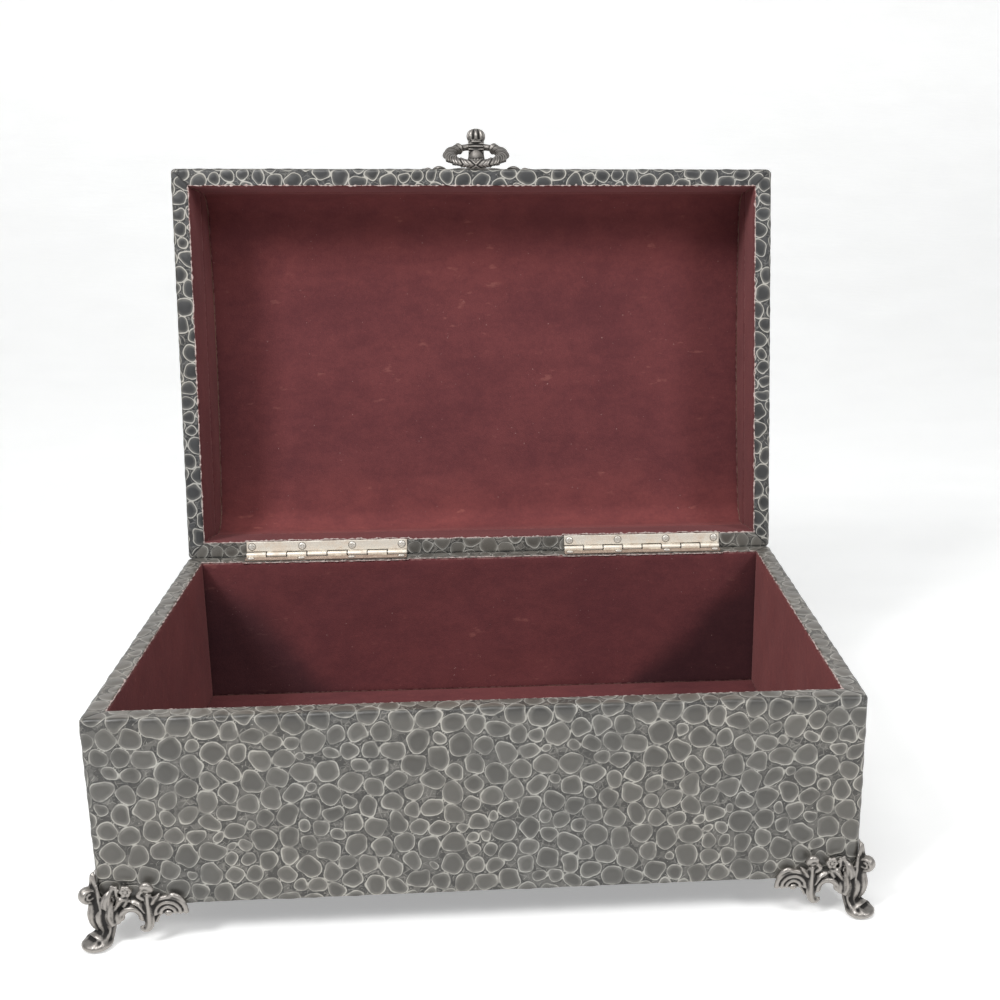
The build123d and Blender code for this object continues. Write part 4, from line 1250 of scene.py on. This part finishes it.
def skin(forms, voxel, depth):
    """One closed surface over all the forms, and how far each point lies in a hollow.

    The forms are joined in cubes of the voxel size and softened once. A hollow is where a much
    softened copy of the surface stands outside it; it is 0.5 on flats and 1 at the depth."""
    rough = build_mesh("forms", *gather(forms))
    layer = rough.modifiers.new("Skin", "REMESH")
    layer.mode, layer.voxel_size = "VOXEL", voxel
    done = rough.evaluated_get(bpy.context.evaluated_depsgraph_get()).data
    place = np.empty(len(done.vertices) * 3, np.float32)
    done.vertices.foreach_get("co", place)
    place = place.reshape(-1, 3).astype(float) / MM
    corners = np.empty(len(done.loops), np.int32)
    done.loops.foreach_get("vertex_index", corners)
    corners = corners.reshape(-1, 4)
    mesh = rough.data
    bpy.data.objects.remove(rough)
    bpy.data.meshes.remove(mesh)
    count = len(place)
    place = 0.5 * place + 0.5 * neighbour_mean(place, corners, count)
    a, b, c, d = (place[corners[:, k]] for k in range(4))
    facing = np.repeat(np.cross(c - a, d - b), 4, axis=0)
    normal = unit(np.stack([
        np.bincount(corners.ravel(), facing[:, k], minlength=count) for k in range(3)
    ], axis=1))
    soft = place
    for _ in range(SOFTENINGS):
        soft = neighbour_mean(soft, corners, count)
    hollow = np.sum((soft - place) * normal, axis=1)
    return place, corners, np.clip(0.5 + 0.5 * hollow / depth, 0, 1)


def cast(forms, voxel, depth, finish, body, *copies):
    """Skin over forms, as one piece for each copy: its name, its node, and its mirror (x, y)."""
    place, quads, hollow = skin(forms, voxel, depth)
    for name, node, mirror in copies:
        points = place * (*mirror, 1)
        points[:, 1] += MIDDLE * (1 - mirror[1])
        points[:, 2] = np.maximum(points[:, 2], 0.0)
        faces = quads if mirror[0] * mirror[1] > 0 else quads[:, ::-1]
        piece = build_mesh(name, points, faces, (), {"hollow": hollow})
        dress(piece, finish, "antique_pewter", body, node)


# Corner feet

# One face of a foot: rows of (a inwards from the corner, w outwards, h upwards, width, height)
FACE_RUNS = (
    (ROD, [(21.9, 3.4, 9.9, 0.9, 1.1), (22.6, 4.2, 12, 1.6, 1.5), (24.6, 4.4, 12.6, 1.8, 1.7),
           (26.2, 4.1, 11, 1.5, 1.5), (26.6, 3.3, 9, 0.9, 1)]),
    (ROD, [(22.4, 3, 8.6, 0.8, 0.9), (21.1, 3.4, 8.5, 1, 1.2), (20.2, 3.6, 7.2, 1.1, 1.3),
           (20.9, 3.4, 5.9, 1, 1.1), (22.3, 3, 4.6, 0.9, 1)]),
    (TWIN, [(30.4, 2.6, 7.9, 0.3, 0.5), (28.9, 3, 6.4, 0.9, 1.2), (27.4, 3, 4.6, 1.4, 1.5),
            (26.2, 2.8, 2.2, 1.4, 1.5)]),
    (TWIN, [(24.2, 2.6, 7.4, 2, 1.9), (24.3, 2.8, 2, 2.1, 2), (24.4, 2.8, -4, 2.3, 2),
            (24.2, 2.8, -8, 2.4, 2.1), (23, 2.8, -11, 2.2, 1.9), (20.9, 2.6, -11.4, 1.6, 1.5),
            (20.4, 2.4, -9.8, 1, 1.2)]),
    (TWIN, [(22.2, 2.6, -2.4, 0.7, 1.6), (20.2, 2.9, 1.7, 1.4, 2), (17.6, 2.8, 3.4, 1.5, 1.8),
            (15.4, 2.2, 3.6, 0.5, 0.8)]),
    (ROD, [(14, 2, 8, 1.3, 1.2), (13.8, 2.2, 4, 1.5, 1.3), (12.6, 2, 0.5, 1.2, 1)]),
    (TWIN, [(13.8, 2.6, 4.8, 1.2, 1.2), (12, 3.2, 4.9, 1.8, 1.7), (10.2, 3.2, 2.2, 1.2, 1.5),
            (8.6, 2.8, -1, 0.5, 0.9)]),
    (ROD, [(10, 1.8, 4, 0.8, 0.9), (9.9, 2.2, 8, 0.8, 1), (10, 2.4, 11.6, 0.9, 1)]),
    (ROD, [(7.6, 2, 7, 0.9, 1), (7.9, 2.4, 10.2, 1.1, 1.1), (8.2, 2.4, 12.4, 0.5, 0.6)]),
    (LEAVES, [(7.2, 2.6, 9.8, 0.5, 0.7), (6, 3.4, 7.4, 2, 1.9), (5, 3.8, 4, 2.5, 2.2),
              (4.8, 3.6, 0.8, 2, 1.8)]),
    (LEAVES, [(8.2, 2.4, 4, 0.4, 0.6), (7, 3.4, 2.4, 1.4, 1.5), (6.4, 3.6, -1, 2.3, 2),
              (6.2, 3.4, -5, 2.4, 1.9), (7, 2.8, -9, 1.6, 1.4)]),
    (ROD, [(9.6, 2.2, -0.8, 0.4, 0.7), (9.3, 2.8, -4, 1.2, 1.5), (9.5, 2.6, -8.2, 1.1, 1.2)]),
    (TWIN, [(1.2, 2.6, 12.4, 0.7, 0.8), (1.9, 3.2, 6, 1.3, 1.4), (2.4, 3.2, 0, 1.5, 1.5),
            (2.2, 2.8, -7, 1.5, 1.4)]),
    (TWIN, [(41.4, 1.8, 1.6, 0.4, 0.6), (39, 2.4, 4.4, 1.2, 1.3), (36.2, 2.6, 6, 1.5, 1.4),
            (33.6, 2.4, 5.4, 1, 1.1)]),
)
FACE_PLATE = (
    (0, 4), (7, 6), (11.6, 3), (18.5, 0.4), (22.4, 4), (27, 3.4), (30, 5.2), (35, 5.2), (39, 3),
    (41, -1), (41, -3.4), (30, -3.8), (27.5, -9), (22.4, -9), (21, -5.5), (18.6, -1.2),
    (15.8, -0.4), (13, -1.2), (10.8, -4.6), (10.2, -9), (5, -11), (0, -8),
)
FACE_BANDS = (
    ((15.8, -5.7), 5.3, -14, 194, 1.9, 1.15, 1.9),
    ((15.8, -5.7), 3.8, -10, 190, 1.7, 0.5, 1.4),
    ((33.2, -3.6), 8.4, -4, 186, 1.9, 1.2, 1.4),
    ((33.2, -3.6), 5.9, -4, 186, 2.3, 1.05, 1.3),
    ((33.2, -3.6), 3.5, -4, 186, 2.5, 0.95, 1.15),
)
# The corner: rows of (d outwards along the diagonal, e across it, h upwards, width, height)
CORNER_RUNS = (
    (LEAVES, [(3, 0, 4.8, 1.9, 1.6), (2.8, 0, 1, 2.4, 2), (3.4, 0, -3.5, 2.9, 2.2),
              (2.6, 0, -8, 2.5, 1.8), (0.6, 0, -12.5, 0.8, 0.9)]),
    (LEAVES, [(0, 0, 18.8, 0.3, 0.5), (0.8, 0, 16.6, 1.8, 1.6), (0.8, 0, 12, 3, 2), (0.8, 0, 6, 3.8, 2.4),
              (0.8, 0, 0, 4.2, 2.6)]),
    (STOUT, [(-4.6, 0, 1, 5.6, 5.6), (-2.6, 0, -3, 6.4, 6.4), (-3, 0, -8, 5.7, 5.7),
             (-3.6, 0, -12.5, 4.4, 4.4), (-2, 0, -16, 4.8, 4.8), (0.6, 0, -18.4, 6.2, 6.2)]),
)
# Leaf blades down the leg: (middle along d, height, reach from it, width)
LEG_BLADE = (
    (-4.6, 1.5, 5.6, 0.9), (-2.6, -3, 6.3, 1.5), (-3, -8, 5.7, 1.4), (-3.6, -12.5, 4.3, 0.9),
    (-1.8, -15.6, 4.7, 1.2), (1.2, -17.8, 6.6, 1.7), (2, -19.6, 6.7, 1.3),
)


def foot_face_forms():
    """Cast ornament of one face of a foot: a pierced plate under swept scrolls, bands and balls."""
    out = (0, 1, 0)
    forms = [sweep(rows, out, section) for section, rows in FACE_RUNS]
    forms.append(slab_form(FACE_PLATE, 0.1, 1.7))
    forms += [sweep(arc_rows(*band), out, ROD) for band in FACE_BANDS]
    forms.append(ball((24.3, 3.4, 10.3), (2.3, 1.6, 2.1)))
    forms.append(ball((33.2, 2.2, -3.6), (1.8, 1.5, 1.7)))
    forms.append(ball((14.4, 3.2, 9.2), (1.2, 1.2, 1.2)))
    for turn in np.radians(np.arange(0, 360, 60)):
        middle = (14.4 + 2.1 * math.cos(turn), 3.0, 9.2 + 2.1 * math.sin(turn))
        forms.append(ball(middle, (1.15, 1.35, 1.15)))
    return forms


def foot_corner_forms():
    """Cast ornament on the corner: a spiral scroll, leaves, the leg and its toe, and blades."""
    ahead, across = (1, 0, 0), (0, 1, 0)
    share = np.linspace(0, 1, 15)
    turn, radius = np.radians(-100 + 590 * share), 3.7 - 2.9 * share
    d, h = 4.4 + radius * np.cos(turn), 8.3 + radius * np.sin(turn)
    spiral = spread(d, 0, h, 1.0 - 0.3 * share, 2.4 + 0.7 * share)
    forms = [sweep(spiral, across, ROD, 90), ball((4.4, 0, 8.3), (4.2, 2.0, 4.2))]
    forms += [sweep(rows, ahead, section, 40) for section, rows in CORNER_RUNS]
    forms.append(ball((2.0, 0, -18.6), (7.4, 7.4, 3.0)))
    for lean in np.radians([-76, -38, 38, 76]):
        way = np.array([math.cos(lean), math.sin(lean), 0])
        rows = [
            (*(np.array([middle, 0, level]) + way * reach), width, 1.0)
            for middle, level, reach, width in LEG_BLADE
        ]
        forms.append(sweep(rows, way, BLADE, 46))
    return forms


def foot_forms():
    """Whole foot about its corner: (p outwards from the side, q outwards from the front, h)."""
    forms = []
    for points, quads, caps in foot_face_forms():
        a, w, h = points.T
        forms += [(spread(-a, w, h), quads, caps), (spread(w, -a, h), quads, caps)]
    for points, quads, caps in foot_corner_forms():
        d, e, h = points.T
        forms.append((spread((d + e) / math.sqrt(2), (d - e) / math.sqrt(2), h), quads, caps))
    seat = [(0.2, 0.2), (-37.5, 0.2), (-37.5, -17.5), (-17.5, -37.5), (0.2, -37.5)]
    points, quads, caps = slab_form(seat, -2.4, -0.1)
    forms.append((points[:, [0, 2, 1]], quads, caps))
    return forms


class CHEST_OT_feet(bpy.types.Operator):
    """Four cast corner feet, each the mirror image of the next."""

    bl_idname = "chest.feet"
    bl_label = "Corner feet"

    def execute(self, context):
        metal = context.scene.chest_metal
        corner = np.array([HALF_WIDTH, FRONT, UNDER])
        forms = [(corner + points * (1, -1, 1), quads, caps) for points, quads, caps in foot_forms()]
        copies = [
            (f"foot_cast_{place}", f"foot_{place}", mirror)
            for place, mirror in (
                ("front_right", (1, 1)), ("front_left", (-1, 1)), ("back_right", (1, -1)),
                ("back_left", (-1, -1)),
            )
        ]
        cast(forms, metal.foot_voxel, 0.32, pewter_finish(metal), "base", *copies)
        return {"FINISHED"}


# Ring pull

ACROSS = np.array([1.0, 0, 0])
OUT = np.array([0, -OPEN_COS, -OPEN_SIN])
UP = np.array([0, -OPEN_SIN, OPEN_COS])
PULL_FOOT = opened(np.array([0, FRONT, PULL_Z]))
EYE = PULL_FOOT + OUT * EYE_OUT

# Scrolls of the backplate: rows of (x, level, z, width, height) in one quarter
PLATE_RUNS = (
    (LEAVES, [(38.2, 1.3, 0.4, 0.3, 0.4), (34, 1.6, 1.8, 1.5, 0.9), (28.5, 1.7, 2.8, 2.4, 1.1),
              (22, 1.7, 4.4, 2.6, 1.2), (16.5, 1.6, 5.4, 1.4, 0.8)]),
    (TWIN, [(27.4, 1.5, 7.4, 0.8, 0.8), (25.6, 2.3, 10.4, 1.6, 1.4), (22.6, 2.6, 11.2, 1.9, 1.5),
            (20.2, 2.2, 8.8, 1.5, 1.3), (20.6, 1.7, 6.6, 1, 1)]),
    (TWIN, [(36, 1.2, 1.6, 0.6, 0.7), (33, 2, 5, 1.4, 1.2), (30, 2.3, 6.8, 1.6, 1.4),
            (28, 1.6, 5, 1.2, 0.9)]),
    (LEAVES, [(17.6, 1.2, 10.2, 0.5, 0.7), (14, 1.6, 10.6, 1.6, 1.1), (9, 1.7, 11.6, 1.9, 1.1),
              (3.5, 1.6, 12.6, 0.8, 0.7)]),
)
# Post and head: rows of (radius, height over the lid)
POST_FOOT = (
    (6.4, 2.6), (7, 3.4), (6.3, 4.4), (6.2, 6), (5.8, 8), (5.3, 10), (4.9, 12.4),
    (4.6, 13.8), (4.4, 14.6),
)
POST_HEAD = (
    (4.6, 19.3), (5.2, 19.9), (4.8, 20.5), (5.2, 21), (5.8, 22.4), (5.9, 24), (5.3, 26),
    (3.8, 27.6), (1.4, 28.4), (0.3, 28.5),
)
POST_COLLAR = ((6.2, 4.7), (6.8, 5.2), (6.2, 5.7))


def ring_tilt():
    """Turn of the hanging ring towards the lid, where it rests on the rim's rounded edge."""
    along, out = PULL_Z - LID_RIM - RIM_ROUND, EYE_OUT + RIM_ROUND
    apart, reach, touch = math.hypot(along, out), RING_REACH + RING, 3.0 + RIM_ROUND + 0.3
    share = (apart**2 + reach**2 - touch**2) / (2 * apart * reach)
    return math.atan2(out, along) - math.acos(share)


def ring_forms(tilt):
    """The ring hanging in the post's eye: laurel round the thick part, collars, slim arms."""
    down = -UP * math.cos(tilt) - OUT * math.sin(tilt)
    face = unit(np.cross(ACROSS, down))
    middle = EYE + down * RING_REACH
    turn = np.radians(np.linspace(44, 316, 420))
    about = turns(56)[:, None]
    sway = np.abs(np.arctan2(np.sin(about), np.cos(about))) / math.pi
    leaves = (np.abs(turn - math.pi) * RING / 6.4 - 1.2 * sway) % 1.0
    vein = np.exp(-(((leaves - 0.5) / 0.09) ** 2)) + np.exp(-(((leaves - 0.78) / 0.07) ** 2))
    thick = 2.10 + 1.05 * leaves**0.8 - 0.36 * vein
    wide = 1 + 0.42 * np.sin(turn) ** 2
    ring_way = ACROSS * np.sin(turn)[:, None] - down * np.cos(turn)[:, None]
    radius = RING - 0.5 * np.sin(turn) ** 2 + wide * thick * np.cos(about)
    forms = [closed(middle + ring_way * radius[..., None] + face * (thick * np.sin(about))[..., None])]

    def bow(places, thicknesses, section, count):
        """Stretch of the ring with a plain section."""
        ways = [ACROSS * np.sin(t) - down * np.cos(t) for t in places]
        rows = [(*(middle + RING * way), size, size) for way, size in zip(ways, thicknesses)]
        forms.append(sweep(rows, face, section, count))

    for side in (-1, 1):
        for at, wide, thick in ((40.0, 0.9, 3.7), (43.8, 0.8, 3.3), (36.4, 0.7, 3.1)):
            spot = np.radians([at - 2.4 * wide, at, at + 2.4 * wide]) * side
            bow(spot, (thick * 0.9, thick, thick * 0.9), STOUT, 9)
        bow(np.radians(np.linspace(15, 39, 6)) * side, [1.9] * 6, BEVEL, 18)
        forms.append(ball(EYE + ACROSS * side * 5.4, (1.5, 2.2, 2.2)))
    journal = [(*(EYE + ACROSS * x), 1.9, 1.9) for x in (-5.4, -2, 2, 5.4)]
    forms.append(sweep(journal, OUT, STOUT, 12))
    return forms


def post_forms():
    """Post with a flared foot, an open eye for the ring and a ribbed head."""
    forms = [lathe(POST_FOOT), lathe(POST_HEAD, 8, 0.34, 20.6), lathe(POST_COLLAR)]
    loop = [
        (*(PULL_FOOT + OUT * (EYE_OUT + 3.2 * math.sin(t)) + UP * 3.2 * math.cos(t)), 1.12, 4.7)
        for t in np.linspace(0, ROUND, 9)
    ]
    forms.append(sweep(loop, ACROSS, ROD, 44))
    for t in turns(14):
        spot = PULL_FOOT + OUT * (EYE_OUT + 4.15 * math.sin(t)) + UP * 4.15 * math.cos(t)
        rib = [(*(spot + ACROSS * x), 0.55, 0.55) for x in (-4.9, -2.0, 2.0, 4.9)]
        forms.append(sweep(rib, OUT, THREAD, 16))
    for t in turns(18):
        spot = PULL_FOOT + OUT * 8.6 + 5.6 * (ACROSS * math.cos(t) + UP * math.sin(t))
        forms.append(ball(spot, (0.75, 0.75, 0.75)))
    return forms


def plate_forms():
    """Backplate: a pointed, lobed outline with leaf scrolls in relief round an oval boss."""
    turn = turns(120)
    x, lens = np.linspace(0, 38.8, 40), 8.6 * (1 - (np.linspace(0, 1, 40) ** 1.6))
    x = np.concatenate([x, x[::-1][1:], -x[1:], -x[::-1][1:-1]])
    z = np.concatenate([lens, -lens[::-1][1:], -lens[1:], lens[::-1][1:-1]])
    lobed = spread(18.8 * np.cos(turn), 13.3 * np.sin(turn)) * (1 + 0.035 * np.cos(12 * turn))[:, None]
    border = [
        (12.6 * math.cos(t), 1.7, 9.6 * math.sin(t), 0.7, 0.9) for t in np.linspace(0, ROUND, 17)
    ]
    out = (0, 1, 0)
    forms = [slab_form(spread(x, z), 0.15, 1.5), slab_form(lobed, 0.15, 1.7), sweep(border, out, ROD, 90)]
    for a, b in ((-1, -1), (-1, 1), (1, -1), (1, 1)):
        for section, rows in PLATE_RUNS:
            rows = [(x * a, w, z * b, wide, tall) for x, w, z, wide, tall in rows]
            forms.append(sweep(rows, out, section, 30))
        forms.append(ball((24.0 * a, 1.4, 7.0 * b), (3.9, 1.3, 3.9)))
    for t in turns(24):
        forms.append(ball((8.6 * math.cos(t), 1.6, 6.6 * math.sin(t)), (0.75, 0.9, 0.75)))
    forms += [ball((33.0 * a, 1.6, 0), (1.9, 1.0, 1.9)) for a in (-1, 1)]
    forms.append(slab_form(spread(7.0 * np.cos(turn), 7.0 * np.sin(turn)), 1.0, 3.0))
    return [
        (PULL_FOOT + points[:, :1] * ACROSS + points[:, 2:] * UP + points[:, 1:2] * OUT, quads, caps)
        for points, quads, caps in forms
    ]


class CHEST_OT_pull(bpy.types.Operator):
    """Ring pull: relief backplate, post with a ribbed head, and the laurel ring."""

    bl_idname = "chest.pull"
    bl_label = "Ring pull"

    def execute(self, context):
        finish = pewter_finish(context.scene.chest_metal)
        voxel = context.scene.chest_metal.pull_voxel
        for forms, size, depth, body, name, node in (
            (plate_forms(), voxel * 1.3, 0.22, "lid", "pull_backplate_relief", "pull_backplate"),
            (post_forms(), voxel, 0.22, "lid", "pull_post_cast", "pull_post"),
            (ring_forms(ring_tilt()), voxel, 0.2, "ring", "pull_ring_cast", "pull_ring"),
        ):
            cast(forms, size, depth, finish, body, (name, node, (1, 1)))
        give(["backplate_pins"], finish)
        return {"FINISHED"}


# Stage


class CHEST_OT_stage(bpy.types.Operator):
    """Pale floor and backdrop, soft lights and the camera."""

    bl_idname = "chest.stage"
    bl_label = "Stage"

    def execute(self, context):
        stage = context.scene.chest_stage
        self.camera(context, stage)
        self.backdrop()
        self.lights(context, stage)
        return {"FINISHED"}

    def camera(self, context, stage):
        """Camera that looks down by the pitch and is turned by the yaw."""
        data = bpy.data.cameras.new("camera")
        data.lens, data.sensor_width = stage.lens, 36.0
        data.shift_x, data.shift_y = -0.10265, 0.00664
        data.clip_start, data.clip_end = 0.01, 20
        data.dof.use_dof = False
        camera = bpy.data.objects.new("camera", data)
        context.scene.collection.objects.link(camera)
        camera.location = stage.camera_place
        camera.rotation_euler = (
            Matrix.Rotation(stage.yaw, 3, "Z")
            @ Matrix.Rotation(math.pi / 2 - stage.pitch, 3, "X")
            @ Matrix.Rotation(stage.roll, 3, "Z")
        ).to_euler()
        context.scene.camera = camera

    def backdrop(self):
        """White sheet in metres: a flat floor that curves up into a wall, across the view."""
        turn = np.radians(np.linspace(0, 90, 13))[1:]
        bend, back, tall, sunk = 0.5, 1.7, 2.4, 0.00005
        floor_y = np.linspace(-2.2, back - bend, 9)
        y = np.concatenate([floor_y, back - bend + bend * np.sin(turn), [back]])[:, None]
        z = np.concatenate([np.zeros(9), bend * (1 - np.cos(turn)), [tall]])[:, None]
        grid = spread(np.linspace(-3.0, 3.0, 13), y, z - sunk)
        number = np.arange(grid[..., 0].size).reshape(grid.shape[:2])
        quads = spread(number[:-1, :-1], number[:-1, 1:], number[1:, 1:], number[1:, :-1])
        sheet = build_mesh("backdrop", grid.reshape(-1, 3) / MM, quads)
        f = Finish(
            "backdrop_paper", Specular_IOR_Level=0.2, Roughness=0.8, Emission_Color=(1, 1, 1),
            Emission_Strength=0.34,
        )
        crumple = f.noise(0.05, 3.0, f.place((0.5, 1.0, 2.0)))
        tone = f.blend(crumple.eased(0.3, 0.7), (0.86, 0.86, 0.85), (0.90, 0.90, 0.89))
        sheet.data.materials.append(f.put(Base_Color=tone, Normal=f.bump(crumple, 0.004, 0.25)))

    def lights(self, context, stage):
        """Two broad lights in front, one overhead, and an even pale surround."""
        for name, place, aim_z, size, watts in (
            ("front_left", (-0.90, -1.00, 1.35), 0.2, (0.40, 0.40), stage.left_power),
            ("front_right", (0.95, -1.02, 1.10), 0.2, (0.36, 0.36), stage.right_power),
            ("overhead", (-0.1, -0.70, 1.50), 0.15, (0.8, 0.5), stage.top_power),
        ):
            data = bpy.data.lights.new(name, "AREA")
            data.shape = "RECTANGLE"
            data.size, data.size_y = size
            data.energy = watts
            light = bpy.data.objects.new(name, data)
            context.scene.collection.objects.link(light)
            light.location = place
            way = Vector(np.array([0, 0, aim_z]) - place)
            light.rotation_euler = way.to_track_quat("-Z", "Y").to_euler()
        world = bpy.data.worlds.new("surround")
        world.use_nodes = True
        background = world.node_tree.nodes["Background"].inputs
        background["Color"].default_value = (0.92, 0.96, 1.0, 1)
        background["Strength"].default_value = stage.surround
        context.scene.world = world
        context.scene.view_settings.view_transform = "Standard"


class CHEST_PT_panel(bpy.types.Panel):
    """The chest's pieces, each with its button, and their sizes."""

    bl_label = "Jewelry chest"
    bl_idname = "CHEST_PT_panel"
    bl_space_type = "VIEW_3D"
    bl_region_type = "UI"
    bl_category = "Chest"

    def draw(self, context):
        for group in GROUPS:
            settings = getattr(context.scene, group)
            box = self.layout.box()
            for name in settings.__annotations__:
                box.prop(settings, name)
        for operator in OPERATORS:
            self.layout.operator(operator.bl_idname)


GROUPS = {
    "chest_leather": ChestLeather,
    "chest_velvet": ChestVelvet,
    "chest_metal": ChestMetal,
    "chest_stage": ChestStage,
}
OPERATORS = (
    CHEST_OT_boards, CHEST_OT_covering, CHEST_OT_linings, CHEST_OT_frayed_edges, CHEST_OT_feet,
    CHEST_OT_pull, CHEST_OT_hinges, CHEST_OT_stage,
)


def register():
    for kind in (*GROUPS.values(), *OPERATORS, CHEST_PT_panel):
        bpy.utils.register_class(kind)
    for name, kind in GROUPS.items():
        setattr(bpy.types.Scene, name, bpy.props.PointerProperty(type=kind))


def unregister():
    for name in GROUPS:
        delattr(bpy.types.Scene, name)
    for kind in reversed((*GROUPS.values(), *OPERATORS, CHEST_PT_panel)):
        bpy.utils.unregister_class(kind)


def main():
    """Build every piece in order."""
    register()
    bpy.ops.chest.boards()
    bpy.ops.chest.covering()
    bpy.ops.chest.linings()
    bpy.ops.chest.frayed_edges()
    bpy.ops.chest.feet()
    bpy.ops.chest.pull()
    bpy.ops.chest.hinges()
    bpy.ops.chest.stage()


if __name__ == "__main__":
    main()
